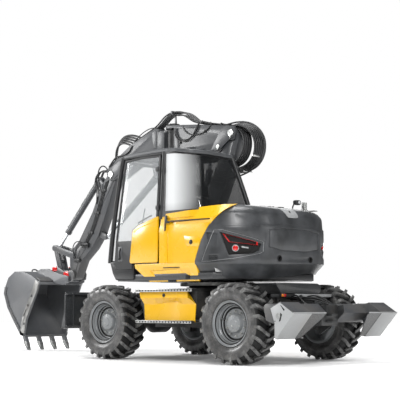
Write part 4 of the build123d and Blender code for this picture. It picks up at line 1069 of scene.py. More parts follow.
def buildRoof():
    # moulded cap: thin rim, crowned middle
    outline = [(-1.050, 0.985), (-1.075, 0.90), (-1.078, -0.10), (-1.062, -0.27), (-0.99, -0.40),
               (-0.86, -0.468), (-0.72, -0.482),
               (-0.205, -0.482), (-0.170, -0.45), (-0.163, -0.35), (-0.163, 0.90), (-0.19, 0.985),
               (-0.30, 1.010), (-0.94, 1.010)]
    cap = profile([(x, slewY + y) for x, y in outline], "z", -0.058, 0.0, 0.0)
    softEdges(cap, 0.016, 3, 40)
    slices(cap, "y", [slewY + y for y in (-0.30, -0.15, 0.0, 0.15, 0.30, 0.45, 0.60, 0.75, 0.88)])
    slices(cap, "x", [-0.95, -0.80, -0.62, -0.44, -0.29])
    for vert in cap.data.vertices:
        away = abs(vert.co.x + 0.62) / 0.46
        vert.co.z += crownAt(vert.co.y - slewY) - 0.016 + 0.012 * (1 - min(away, 1) ** 2)
    finish(cap, "cabRoofCap", greyPlastic, "upper", ["cab_roof"])
    # the roof's own shallow ribs
    ribs = [slewBox(x - 0.02, x + 0.02, -0.30, 0.55, crownAt(0) - 0.02, crownAt(0) + 0.004, 0.008)
            for x in (-0.82, -0.62, -0.42)]
    finish(ribs, "roofRibs", greyPlastic, "upper")
    # work lamps under the brow
    lamps, lenses = [], []
    for x in (-0.95, -0.29):
        lamps.append(slewBox(x - 0.055, x + 0.055, 0.985, 1.045, 2.925, 2.995, 0.014, 3))
        lenses.append(slewBox(x - 0.043, x + 0.043, 1.042, 1.048, 2.936, 2.984, 0.002))
    finish(lamps, "browLamps", blackPlastic, "upper")
    finish(lenses, "browLampLenses", clearLens, "upper")


def buildDoor():
    c = cab
    out = c["left"] - 0.004
    # yellow lower panel: its top edge climbs to the rear and a bevel runs round it
    face = [(slewY + 0.128, 1.402), (slewY + 0.690, 1.402), (slewY + 0.700, 1.440), (slewY + 0.640, 1.880),
            (slewY + 0.520, 1.952),
            (slewY + 0.128, 2.064)]
    panel = profile(face, "x", out - 0.022, out + 0.045, 0.016, 3)
    fold = sideProfile([(0.60, 1.850), (0.50, 1.905), (0.128, 1.995), (0.128, 2.012), (0.505, 1.922),
                        (0.612, 1.864)], out - 0.026, out - 0.016, 0.002)
    finish([panel, fold], "doorYellowPanel", yellowPaint, "door", ["cab_door"])
    # black frame: front stile, head, rear stile and the lower front corner with the grab handle
    frameOut = [(0.128, 1.396), (0.128, 2.955), (0.50, 2.962), (0.872, 2.935), (0.890, 2.78), (1.000, 1.80),
                (1.035, 1.42), (1.000, 1.318), (0.66, 1.318), (0.66, 1.396)]
    frameIn = [(0.165, 2.040), (0.165, 2.925), (0.50, 2.932), (0.842, 2.905), (0.858, 2.78), (0.972, 1.80),
               (0.985, 1.735), (0.672, 1.735),
               (0.655, 1.885), (0.52, 1.965)]
    band = sideProfile(frameOut, out - 0.006, out + 0.026, 0.0)
    carve(band, sideProfile(frameIn, out - 0.1, out + 0.1, 0.0))
    softEdges(band, 0.006, 2, 40)
    leanIn(band)
    finish(band, "doorFrame", blackPlastic, "door")
    pane = sideProfile(((0.150, 2.020), (0.150, 2.940), (0.50, 2.946), (0.858, 2.92), (0.874, 2.78),
                        (0.988, 1.80), (1.0, 1.715),
                                                (0.655, 1.715), (0.640, 1.87), (0.51, 1.95)), out + 0.004,
                                                out + 0.010, 0.0)
    leanIn(pane)
    finish(pane, "doorPane", doorTint, "door", ["door_glass"])
    # recessed handle in the black corner
    cup = sideProfile([(0.86, 1.44), (0.955, 1.44), (0.955, 1.655), (0.86, 1.655)], out - 0.009, out - 0.002,
                      0.003)
    pull = [slewHose([(out - 0.006, 0.905, 1.47), (out - 0.026, 0.900, 1.50), (out - 0.026, 0.900, 1.60),
                      (out - 0.006, 0.905, 1.63)], 0.009, 5),
            rod(at(out - 0.004, 0.93, 1.475), at(out - 0.014, 0.93, 1.475), 0.014, sides=20)]
    finish(cup, "handleCup", greyPlastic, "door")
    finish(pull, "doorHandle", darkInside, "door")
    # hinge leaves on the door pillar
    hinges = []
    for z in (2.190, 2.740):
        hinges.append(rod(at(c["left"] - 0.012, 0.113, z - 0.036), at(c["left"] - 0.012, 0.113, z + 0.036),
                          0.012, sides=20))
        hinges.append(slewBox(c["left"] - 0.017, c["left"] - 0.004, 0.118, 0.170, z - 0.030, z + 0.030,
                              0.003))
    finish(hinges, "doorHinges", blackPlastic, "door")
    # inner grab bar seen through the glass
    grab = slewHose([(out + 0.03, 0.30, 2.08), (out + 0.075, 0.32, 2.10), (out + 0.075, 0.55, 2.02),
                     (out + 0.03, 0.57, 1.99)], 0.011, 5)
    finish(grab, "doorGrabBar", blackPlastic, "door")


def leanIn(obj):
    # the glasshouse side leans in above the belt
    for vert in obj.data.vertices:
        z = vert.co.z
        vert.co.x += cab["lean"] * max(0.0, (z - 2.05) / 0.95)


def buildInside():
    # seat pedestal with its bellows folds, and the arm consoles with their levers
    base = [slewBox(-0.80, -0.47, -0.03, 0.34, 1.30, 1.42, 0.02),
            slewBox(-0.76, -0.51, 0.0, 0.30, 1.42, 1.555, 0.03)]
    for z in (1.44, 1.47, 1.50, 1.53):
        base.append(slewBox(-0.775, -0.495, -0.012, 0.312, z - 0.008, z + 0.008, 0.006))
    finish(base, "seatPedestal", blackPlastic, "upper")
    for x0, x1 in ((-0.96, -0.88), (-0.39, -0.31)):
        pod = [slewBox(x0, x1, 0.0, 0.42, 1.70, 1.78, 0.022, 3),
               slewBox(x0 + 0.01, x1 - 0.01, 0.01, 0.13, 1.30, 1.71, 0.02)]
        mid = (x0 + x1) / 2
        pod += [lathe([(0, 0.026), (0.01, 0.030), (0.05, 0.024), (0.10, 0.012), (0.16, 0.011), (0.20, 0.020),
                       (0.25, 0.022), (0.28, 0.014), (0.285, 0.0)],
                      at(mid, 0.36, 1.775), (0, 0.12, 1), 24)]
        finish(pod, "armConsole" + ("Left" if x0 < -0.6 else "Right"), blackPlastic, "upper",
               ["consoles"] if x0 < -0.6 else [])
    column = [rod(at(-0.635, 0.85, 1.30), at(-0.635, 0.72, 1.775), 0.032, sides=24, edge=0.01),
              slewBox(-0.70, -0.57, 0.70, 0.80, 1.66, 1.76, 0.02, 3)]
    finish(column, "steeringColumn", blackPlastic, "upper")
    bpy.ops.mesh.primitive_torus_add(major_radius=0.170, minor_radius=0.014, major_segments=48,
                                     minor_segments=12,
                                     location=at(-0.635, 0.722, 1.782), rotation=(math.radians(25), 0, 0))
    wheel = bpy.context.object
    settle(wheel)
    spokes = [rod(at(-0.80, 0.722, 1.782), at(-0.47, 0.722, 1.782), 0.010, sides=12),
              rod(at(-0.635, 0.722, 1.782), at(-0.635, 0.57, 1.713), 0.010, sides=12)]
    finish([wheel] + spokes, "steeringWheel", sealRubber, "upper")
    # monitor on its arm, floor mat, overhead console and the sun blind roll
    screen = [slewBox(-0.275, -0.235, 0.78, 0.98, 1.98, 2.13, 0.012, 3),
              slewHose([(-0.24, 0.88, 2.0), (-0.20, 0.90, 1.90), (-0.17, 0.92, 1.80)], 0.012)]
    finish(screen, "cabMonitor", blackPlastic, "upper")
    finish(slewBox(-1.02, -0.22, 0.36, 0.98, 1.300, 1.309, 0.003), "floorMat", sealRubber, "upper")
    over = [slewBox(-0.98, -0.26, -0.26, 0.02, 2.895, 2.950, 0.02, 3),
            rod(at(-0.98, 0.86, 2.90), at(-0.26, 0.86, 2.90), 0.022, sides=20)]
    finish(over, "overheadConsole", greyPlastic, "upper")
    print("cab inside built")


buildCell()
buildGlass()
buildRoof()
buildDoor()
print("cab built")
buildInside()


# ---- seat: cushions pressed over foam, with seams and bolsters
seat = {
    "cushion": (-0.86, -0.41, -0.06, 0.42),     # x and y spans
}


def cushion(name, size, seams, puff, bolster, steps=28):
    # a foam pad: a dense block whose top is drawn down along its seams, and whose sides swell
    w, d, h = size
    bpy.ops.mesh.primitive_cube_add(size=1)
    pad = bpy.context.object
    pad.scale = (w, d, h)
    settle(pad)
    slices(pad, "x", [w * (i / steps - 0.5) for i in range(1, steps)])
    slices(pad, "y", [d * (i / steps - 0.5) for i in range(1, steps)])
    slices(pad, "z", [h * (i / 6 - 0.5) for i in range(1, 6)])
    for vert in pad.data.vertices:
        x, y, z = vert.co
        fx, fy, fz = x / (w / 2), y / (d / 2), z / (h / 2)
        top = max(0.0, fz)
        round_ = max(0.0, (1 - abs(fx) ** 6) * (1 - abs(fy) ** 6))
        lift = puff * round_ * top
        # side bolsters stand above the middle
        lift += bolster * math.exp(-((abs(fx) - 0.80) / 0.15) ** 2) * top * (1 - abs(fy) ** 8)
        for axis, place in seams:
            if axis == "y":
                gap = abs(y - place * d)
                inside = abs(fx) < 0.64
            else:
                gap = abs(abs(x) - place * w)
                inside = True
            if inside:
                lift -= 0.011 * math.exp(-(gap / 0.010) ** 2) * top * round_ ** 0.3
        pull = 1 - 0.10 * abs(fz) ** 3
        vert.co = (x * pull + 0.006 * fx * (1 - fz * fz), y * pull + 0.006 * fy * (1 - fz * fz),
                   z + lift - 0.18 * h * (1 - round_) * top)
    softEdges(pad, 0.006, 2, 50)
    bake(pad, "SUBSURF", levels=1, render_levels=1)
    smoothBy(pad, 70)
    pad.name = name
    return pad


def settlePad(pad, press):
    # foam given its rest shape by a short cloth run: pinned round its foot, pressed from below by its own air
    group = pad.vertex_groups.new(name="held")
    low = min(v.co.z for v in pad.data.vertices)
    high = max(v.co.z for v in pad.data.vertices)
    for vert in pad.data.vertices:
        share = (vert.co.z - low) / (high - low)
        group.add([vert.index], 1.0 if share < 0.55 else max(0.25, 1.0 - (share - 0.55) * 1.6), "REPLACE")
    cloth = pad.modifiers.new("cloth", "CLOTH")
    settings = cloth.settings
    settings.quality = 6
    settings.mass = 0.35
    settings.tension_stiffness = 40
    settings.compression_stiffness = 40
    settings.bending_stiffness = 4
    settings.vertex_group_mass = "held"
    settings.pin_stiffness = 0.9
    settings.use_pressure = True
    settings.uniform_pressure_force = press
    cloth.point_cache.frame_start = 1
    cloth.point_cache.frame_end = 14
    scene = bpy.context.scene
    for step in range(1, 15):
        scene.frame_set(step)
    choose(pad)
    bpy.ops.object.modifier_apply(modifier="cloth")
    scene.frame_set(1)
    return pad


def buildSeat():
    x0, x1, y0, y1 = seat["cushion"]
    mid = ((x0 + x1) / 2, (y0 + y1) / 2)
    base = cushion("seatCushion", (x1 - x0, y1 - y0, 0.115),
                   [("y", -0.18), ("y", 0.08), ("y", 0.30), ("x", 0.31)], 0.014, 0.020)
    settlePad(base, 0.6)
    base.location = at(mid[0], mid[1], 1.622)
    settle(base)
    finish(base, "seatCushion", seatCloth, "upper", ["seat"])
    back = cushion("seatBack", (0.41, 0.66, 0.105), [("y", -0.30), ("y", -0.12), ("y", 0.06), ("y", 0.24),
                                                     ("x", 0.31)], 0.012, 0.022)
    settlePad(back, 0.6)
    lean = math.degrees(math.atan2(0.105, 0.68))
    back.rotation_euler = (math.radians(90 + lean), 0, math.pi)
    back.location = at(mid[0], -0.150, 1.995)
    settle(back)
    finish(back, "seatBackCushion", seatCloth, "upper")
    rest = cushion("headRest", (0.25, 0.155, 0.080), [("y", 0.0)], 0.010, 0.006, 18)
    settlePad(rest, 0.6)
    rest.rotation_euler = (math.radians(90 + lean), 0, math.pi)
    rest.location = at(mid[0], -0.245, 2.440)
    settle(rest)
    finish(rest, "headRest", seatCloth, "upper")
    # shell behind the back, head rest posts, belt
    shell = sideProfile([(-0.10, 1.60), (-0.135, 1.62), (-0.265, 2.32), (-0.240, 2.335), (-0.190, 2.30)],
                        -0.82, -0.45, 0.012, 2)
    posts = [rod(at(x, -0.235, 2.30), at(x, -0.258, 2.44), 0.007, sides=12) for x in (-0.69, -0.58)]
    belt = slewHose([(-0.86, -0.06, 1.70), (-0.885, 0.02, 1.66), (-0.88, 0.06, 1.60)], 0.012)
    finish([shell, belt] + posts, "seatShell", blackPlastic, "upper")


buildSeat()
print("seat built")


# ---- boom, stick and their hoses
arm = {
    "half": 0.100, "plate": 0.131, "stickHalf": 0.094,
    "pivot": 1.230,             # the vertical pivot, forward of the slew axis
    "hose": 0.0125, "thin": 0.0085,
}


def run(xs, path, radius, spread=0.0, centre=(0, 0)):
    # a set of hoses side by side; each one bulges a little more than the last
    made = []
    for i, x in enumerate(xs):
        grow = 1 + spread * (i - (len(xs) - 1) / 2)
        made.append(hose([(x + (p[2] if len(p) > 2 else 0.0), slewY + centre[0] + (p[0] - centre[0]) * grow,
                           centre[1] + (p[1] - centre[1]) * grow) for p in path], radius, 6, 5))
    return made


def pinCap(x, place, radius, way, thick=0.014):
    # end plate of a pivot pin: turned cap, keeper tab and its bolt
    y, z = place
    cap = lathe([(0.0, 0.0), (0.0, radius), (thick * 0.6, radius), (thick, radius * 0.86),
                 (thick, radius * 0.40), (thick * 0.75, radius * 0.34), (thick * 0.75, 0.0)],
                at(x, y, z), (way, 0, 0), 32)
    tab = box(min(x, x + way * thick * 0.7), max(x, x + way * thick * 0.7), slewY + y - radius * 0.3,
              slewY + y + radius * 0.3,
              z - radius * 1.45, z - radius * 0.7, 0.003)
    return [cap, tab, bolt(at(x + way * thick * 0.7, y, z - radius * 1.22), (way, 0, 0), radius * 0.17,
                           radius * 0.14)]


def clampBar(x0, x1, y, z, high=0.030, wide=0.034):
    made = [box(x0, x1, slewY + y - wide / 2, slewY + y + wide / 2, z - high / 2, z + high / 2, 0.006, 2)]
    for x in (x0 + 0.014, x1 - 0.014):
        made.append(bolt(at(x, y, z + high / 2), (0, 0, 1), 0.009, 0.008))
    return made


def sidePlate(points, x, way, thick=0.010, edge=0.003):
    # a doubler welded on an arm's side
    lo, hi = (x, x + thick) if way > 0 else (x - thick, x)
    return sideProfile(points, lo, hi, edge)


def buildBoom():
    a = arm
    low, mid, front = [], [], []
    lowCaps, midCaps, frontCaps = [], [], []
    # lower boom: side doublers
    for way in (-1, 1):
        x = armX + way * a["half"]
        low.append(sidePlate([(0.50, 1.50), (0.70, 1.42), (0.66, 1.70), (0.60, 2.05), (0.52, 2.42),
                              (0.42, 2.36), (0.44, 1.86)], x, way, 0.009))
        low.append(sidePlate([(0.02, 3.04), (0.11, 3.06), (0.34, 2.66), (0.22, 2.60)], x, way, 0.008))
        lowCaps += pinCap(x + way * 0.029, (0.650, 1.420), 0.062, way)
        midCaps += pinCap(armX + way * (a["plate"] + 0.012), (-0.112, 3.400), 0.056, way, 0.018)
        frontCaps += pinCap(armX + way * (a["plate"] + 0.012), (2.560, 2.990), 0.056, way, 0.016)
        # middle boom: knee plate with a second boss, long stiffener under the top edge
        px = armX + way * a["plate"]
        mid.append(sidePlate([(-0.205, 3.440), (-0.165, 3.500), (-0.02, 3.530), (0.10, 3.480), (0.32, 3.135),
                              (0.13, 3.160), (-0.06, 3.290), (-0.200, 3.350)], px, way, 0.010))
        mid.append(sidePlate([(0.66, 3.585), (1.05, 3.622), (1.05, 3.600), (0.66, 3.562)], px, way, 0.007))
        mid.append(sidePlate([(0.90, 3.190), (1.08, 3.235), (1.08, 3.60), (1.02, 3.60), (0.98, 3.30)], px,
                             way, 0.008))
        midCaps += pinCap(px + way * 0.010, (0.150, 3.215), 0.034, way, 0.012)
        # front boom: stick pin doubler and the long lower stiffener
        front.append(sidePlate([(2.30, 3.22), (2.52, 3.13), (2.655, 3.06), (2.655, 2.95), (2.58, 2.905),
                                (2.50, 2.905), (2.26, 3.06)], px, way, 0.010))
        front.append(sidePlate([(1.48, 3.33), (1.56, 3.33), (1.60, 3.60), (1.48, 3.61)], px, way, 0.008))
    finish(low, "lowerBoomPlates", armPaint, "lower_boom")
    finish(mid, "middleBoomPlates", armPaint, "middle_boom")
    finish(front, "frontBoomPlates", armPaint, "front_boom")
    finish(lowCaps, "boomFootPinCaps", zincSteel, "upper")
    finish(midCaps, "kneePinCaps", zincSteel, "middle_boom")
    finish(frontCaps, "stickPinCaps", zincSteel, "front_boom")

    # vertical pivot: black sleeve on the front section, cap with its bolts on the middle section
    sleeve = lathe([(3.270, 0.100), (3.276, 0.106), (3.300, 0.106), (3.306, 0.101), (3.560, 0.101),
                    (3.566, 0.106), (3.592, 0.106), (3.598, 0.100)],
                   at(armX, a["pivot"], 0.0), (0, 0, 1), 48)
    finish(sleeve, "pivotSleeve", blackPlastic, "front_boom")
    cap = [lathe([(3.664, 0.0), (3.664, 0.105), (3.690, 0.105), (3.700, 0.094), (3.700, 0.050),
                  (3.712, 0.046), (3.712, 0.0)],
                 at(armX, a["pivot"], 0.0), (0, 0, 1), 48)]
    for i in range(6):
        t = i * math.tau / 6
        cap.append(bolt((armX + 0.075 * math.cos(t), slewY + a["pivot"] + 0.075 * math.sin(t), 3.699),
                        (0, 0, 1), 0.011, 0.009))
    finish(cap, "pivotCap", blackPlastic, "middle_boom")
    barrel = lathe([(3.262, 0.0995), (3.610, 0.0995), (3.610, 0.090), (3.262, 0.090)],
                   at(armX, a["pivot"], 0.0), (0, 0, 1), 48)
    finish(barrel, "pivotBarrelShade", darkInside, "front_boom")
    for way, name in ((-1, "Left"), (1, "Right")):
        cheek = sidePlate([(1.315, 3.300), (1.48, 3.296), (1.48, 3.600), (1.315, 3.590)],
                          armX + way * (a["plate"] - 0.004), way, 0.006)
        finish(cheek, "pivotCheek" + name, armPaint, "front_boom")

    # hoses: behind the knee
    xs = [armX + d for d in (-0.090, -0.060, -0.030, 0.000, 0.030, 0.060, 0.088)]
    knee = run(xs, [(-0.02, 3.535), (-0.20, 3.560), (-0.42, 3.500), (-0.56, 3.330), (-0.60, 3.120),
                    (-0.52, 2.930), (-0.33, 2.830), (-0.10, 2.830)],
               a["hose"] * 1.1, 0.022, (-0.15, 3.10))
    knee += run([armX - 0.105], [(-0.02, 3.545), (-0.35, 3.590), (-0.66, 3.455), (-0.80, 3.220),
                                 (-0.75, 3.000), (-0.57, 2.800), (-0.30, 2.730), (-0.02, 2.70)], a["hose"])
    knee += run([armX + d for d in (-0.085, -0.05, -0.015, 0.02, 0.055)],
                [(-0.06, 3.510), (-0.26, 3.480), (-0.38, 3.330), (-0.36, 3.12), (-0.24, 2.96), (-0.09, 2.93)],
                a["hose"] * 1.15, 0.03, (-0.1, 3.2))
    finish(knee, "kneeHoses", hoseRubber, "lower_boom")
    ties = clampBar(armX - 0.115, armX + 0.095, -0.115, 2.832, 0.050, 0.05) + clampBar(armX - 0.10,
            armX + 0.10, -0.33, 2.80, 0.012, 0.03)
    ties += [slewBox(armX - 0.125, armX + 0.105, -0.55, -0.52, 3.00, 3.035, 0.006)]
    finish(ties, "kneeHoseClamps", zincSteel, "lower_boom")
    # along the top of the middle section up to the pivot, and on its left side
    top = run([armX + d for d in (-0.07, -0.02, 0.03, 0.08)],
              [(-0.02, 3.548), (0.12, 3.560), (0.33, 3.612), (0.56, 3.640), (0.68, 3.67), (0.78, 3.76),
               (0.90, 3.850), (1.05, 3.886), (1.19, 3.884)],
              a["hose"], 0.0)
    top += run([armX - 0.045, armX + 0.005, armX + 0.055],
               [(0.42, 3.610), (0.60, 3.640), (0.74, 3.67), (0.84, 3.74), (0.94, 3.81), (1.06, 3.845),
                (1.19, 3.850)], a["hose"] * 0.85)
    top += run([armX - 0.146, armX - 0.152], [(1.05, 3.600), (1.045, 3.46), (0.96, 3.385), (0.80, 3.360),
                                              (0.66, 3.430), (0.58, 3.560), (0.54, 3.640),
                                              (0.50, 3.645, 0.06)], a["thin"], 0.10, (0.80, 3.62))
    top += run([armX - 0.146], [(0.90, 3.640, 0.02), (0.88, 3.54), (0.74, 3.430), (0.52, 3.420), (0.34, 3.50),
                                (0.28, 3.600, 0.02)], a["thin"])
    finish(top, "middleBoomHoses", hoseRubber, "middle_boom")
    ties = clampBar(armX - 0.105, armX + 0.115, 0.12, 3.566, 0.034) + clampBar(armX - 0.105, armX + 0.115,
            0.52, 3.648, 0.034)
    ties += [slewBox(armX - 0.145, armX - 0.131, 0.40, 0.44, 3.46, 3.51, 0.004),
             slewBox(armX - 0.145, armX - 0.131, 0.94, 0.98, 3.34, 3.40, 0.004)]
    finish(ties, "middleHoseClamps", blackPlastic, "middle_boom")
    # from the pivot over the front section
    ahead = run([armX + d for d in (-0.07, -0.02, 0.03, 0.08)],
                [(1.19, 3.884), (1.32, 3.864), (1.42, 3.80), (1.52, 3.70), (1.64, 3.655), (1.85, 3.575),
                 (2.02, 3.505)], a["hose"])
    ahead += run([armX - 0.045, armX + 0.005, armX + 0.055],
                 [(1.19, 3.862), (1.30, 3.838), (1.40, 3.76), (1.50, 3.67), (1.62, 3.645), (1.80, 3.570),
                  (2.00, 3.490)], a["hose"] * 0.85)
    # loops that stand over the stick pin
    for i, d in enumerate((-0.09, -0.05, -0.01, 0.03, 0.07)):
        g = 0.92 + 0.13 * (i - 2)
        path = [(1.96, 3.46), (2.06, 3.53), (2.24, 3.60), (2.42, 3.615), (2.55, 3.53), (2.60, 3.40),
                (2.60, 3.26), (2.62, 3.14)]
        centre = (2.30, 3.30)
        ahead.append(hose([(armX + d, slewY + centre[0] + (y - centre[0]) * g,
                            centre[1] + (z - centre[1]) * g) for y, z in path], a["hose"] * 1.35, 6, 5))
    ahead += run([armX - 0.144, armX - 0.150], [(2.06, 3.42, 0.01), (2.12, 3.30), (2.30, 3.26), (2.44, 3.30),
                                                (2.50, 3.22), (2.60, 3.12)], a["thin"], 0.05, (2.3, 3.2))
    finish(ahead, "frontBoomHoses", hoseRubber, "front_boom")
    ties = clampBar(armX - 0.105, armX + 0.115, 1.56, 3.662, 0.034) + clampBar(armX - 0.115, armX + 0.115,
            2.02, 3.495, 0.040)
    ties += [slewHose([(armX - 0.10, 1.50, 3.65), (armX - 0.10, 1.62, 3.70), (armX - 0.10, 1.95, 3.58),
                       (armX - 0.10, 2.05, 3.47)], 0.008)]
    finish(ties, "frontHoseClamps", blackPlastic, "front_boom")


def buildStick():
    a = arm
    x0 = armX - a["stickHalf"]
    plates, caps = [], []
    for way in (-1, 1):
        x = armX + way * a["stickHalf"]
        plates.append(sidePlate([(2.50, 3.05), (2.60, 3.05), (2.80, 2.80), (2.98, 2.42), (2.92, 2.38),
                                 (2.70, 2.66), (2.53, 2.90)], x, way, 0.007))
        plates.append(sidePlate([(3.30, 1.86), (3.60, 1.70), (3.62, 1.62), (3.60, 1.36), (3.50, 1.36),
                                 (3.42, 1.60), (3.24, 1.76)], x, way, 0.006))
        caps += pinCap(x + way * 0.006, (3.560, 1.325), 0.044, way)
    # box channel stepped along the stick's back
    plates.append(sideProfile(((2.98, 2.40), (3.16, 2.22), (3.42, 1.905), (3.40, 1.885), (3.08, 2.28)),
                              armX - 0.050, armX + 0.050, 0.006))
    finish(plates, "stickPlates", armPaint, "stick")
    finish(caps, "stickFootPinCaps", zincSteel, "stick")
    # steel lines and hoses down the left side, hose loops at the top, quick fittings at the foot
    lines = []
    for d in (0.0, 0.032, 0.064):
        lines.append(hose([(x0 - 0.014, slewY + 2.66 + d, 2.90 - d * 0.4),
                           (x0 - 0.014, slewY + 2.80 + d, 2.60), (x0 - 0.014, slewY + 2.93 + d, 2.28),
                           (x0 - 0.014, slewY + 3.04 + d, 2.05), (x0 - 0.014, slewY + 3.20 + d, 1.86)],
                           0.0085, 4))
    finish(lines, "stickSteelLines", blackPlastic, "stick")
    loops = []
    for i, d in enumerate((-0.112, -0.07, -0.03, 0.05, 0.092)):
        g = 0.018 * i
        loops.append(hose([at(armX + d, 2.64, 3.03), at(armX + d, 2.76, 3.055 + g * 0.5),
                           (armX + d, slewY + 2.90 + g, 3.06 + g), (armX + d, slewY + 3.00 + g, 2.95),
                           (armX + d, slewY + 2.98 + g, 2.82), at(armX + d, 2.93, 2.70),
                           at(armX + d * 0.9, 2.97, 2.52)], a["hose"] * 0.9, 5))
    loops.append(slewHose([(x0 - 0.016, 2.62, 2.98), (x0 - 0.05, 2.66, 3.12), (x0 - 0.06, 2.80, 3.16),
                           (x0 - 0.05, 2.90, 3.04), (x0 - 0.03, 2.86, 2.80), (x0 - 0.016, 2.80, 2.62)],
                           a["hose"] * 0.9, 5))
    # lower loops from the fittings to the coupler
    loops.append(slewHose([(x0 - 0.016, 3.20, 1.86), (x0 - 0.05, 3.30, 1.84), (x0 - 0.055, 3.42, 1.80),
                           (x0 - 0.04, 3.46, 1.66), (x0 - 0.02, 3.40, 1.58)], a["thin"], 5))
    loops.append(slewHose([(x0 - 0.016, 3.26, 1.84), (x0 - 0.05, 3.38, 1.92), (x0 - 0.05, 3.52, 1.84),
                           (x0 - 0.03, 3.54, 1.70), (x0 - 0.016, 3.50, 1.60)], a["thin"], 5))
    finish(loops, "stickHoses", hoseRubber, "stick")
    ties = []
    for y, z in ((2.74, 2.74), (2.90, 2.36), (3.06, 2.03)):
        ties.append(box(x0 - 0.026, x0 + 0.002, slewY + y - 0.02, slewY + y + 0.11, z - 0.022, z + 0.022,
                        0.006))
        ties.append(bolt((x0 - 0.026, slewY + y + 0.045, z), (-1, 0, 0), 0.011, 0.009))
    ties += [slewBox(x0 - 0.045, x0 + 0.002, 3.14, 3.30, 1.78, 1.86, 0.008, 2),
             slewBox(x0 - 0.040, x0 + 0.002, 3.36, 3.50, 1.54, 1.60, 0.006)]
    for y in (3.17, 3.22, 3.27):
        ties.append(rod(at(x0 - 0.045, y, 1.82), at(x0 - 0.075, y, 1.82), 0.014, sides=6))
        ties.append(rod(at(x0 - 0.075, y, 1.82), at(x0 - 0.090, y, 1.82), 0.010, sides=16))
    finish(ties, "stickFittings", blackPlastic, "stick")


def buildCylinderTrim():
    # rod glands, port blocks and the steel lines along the barrels
    pairs = {
        "lift": [((1.010, 1.345), (0.560, 2.330), x) for x in (armX - 0.172, armX + 0.172)],
        "knee": [((0.560, 2.010), (0.430, 3.030), armX)],
        "stick": [((1.560, 2.900), (2.790, 1.950), armX)],
        "bucket": [((2.989, 2.940), (4.064, 1.806), armX)],
    }
    barrel = {"lift": 0.056, "knee": 0.050, "stick": 0.054, "bucket": 0.050}
    for name, runs in pairs.items():
        box_ = [v.co.copy() for v in parts[name + "_cylinder"].data.vertices]
        made, lines = [], []
        for base, eye, x in runs:
            start, end = Vector(at(x, base[0], base[1])), Vector(at(x, eye[0], eye[1]))
            way = (end - start).normalized()
            world = parts[name + "_cylinder"].matrix_world
            reach_ = max((world @ v - start).dot(way) for v in box_ if abs((world @ v).x - x) < 0.09)
            r = barrel[name]
            tip = start + way * reach_
            made.append(rod(tip - way * 0.050, tip - way * 0.003, r + 0.007, sides=40, edge=0.003))
            made.append(rod(start + way * 0.075, start + way * 0.100, r + 0.005, sides=40, edge=0.003))
            up = way.cross(Vector((1, 0, 0))).normalized()
            if up.z < 0:
                up = -up
            for along in (0.115, reach_ - 0.085):
                foot = start + way * along + up * (r - 0.004)
                made.append(rod(foot, foot + up * 0.034, 0.017, sides=6, edge=0.002))
            p0 = start + way * 0.115 + up * (r + 0.022)
            p1 = start + way * (reach_ - 0.085) + up * (r + 0.022)
            lines.append(hose([tuple(p0), tuple(p0 + way * 0.05 + up * 0.004),
                               tuple(p1 - way * 0.05 + up * 0.004), tuple(p1)], 0.008, 4))
        finish(joined(name + "Glands", made), name + "CylinderGlands", armPaint, name + "_barrel")
        finish(joined(name + "Lines", lines), name + "CylinderLines", zincSteel, name + "_barrel")


buildBoom()
buildStick()
buildCylinderTrim()
print("arm, hoses and cylinder trim built")


# ---- bucket and coupler
bucket = {
    "half": 0.484,
    "cutter": [(4.405, 0.268), (4.345, 0.560), (4.215, 0.800), (4.075, 1.040), (4.000, 1.190)],
    "outer": [(4.000, 1.205), (4.250, 1.330), (4.480, 1.395), (4.700, 1.395), (4.880, 1.290), (4.965, 1.130),
              (4.985, 1.010),
              (4.880, 0.760), (4.660, 0.480), (4.490, 0.280), (4.400, 0.255)],
}


def offsetPath(points, by):
    # the same open line moved sideways
    moved = []
    for i, p in enumerate(points):
        a, b = points[max(i - 1, 0)], points[min(i + 1, len(points) - 1)]
        dx, dz = b[0] - a[0], b[1] - a[1]
        n = math.hypot(dx, dz)
        moved.append((p[0] + dz / n * by, p[1] - dx / n * by))
    return moved


def strip(points, inner, outer, x0, x1, edge=0.002):
    line = offsetPath(points, inner) + list(reversed(offsetPath(points, outer)))
    return sideProfile(line, x0, x1, edge)


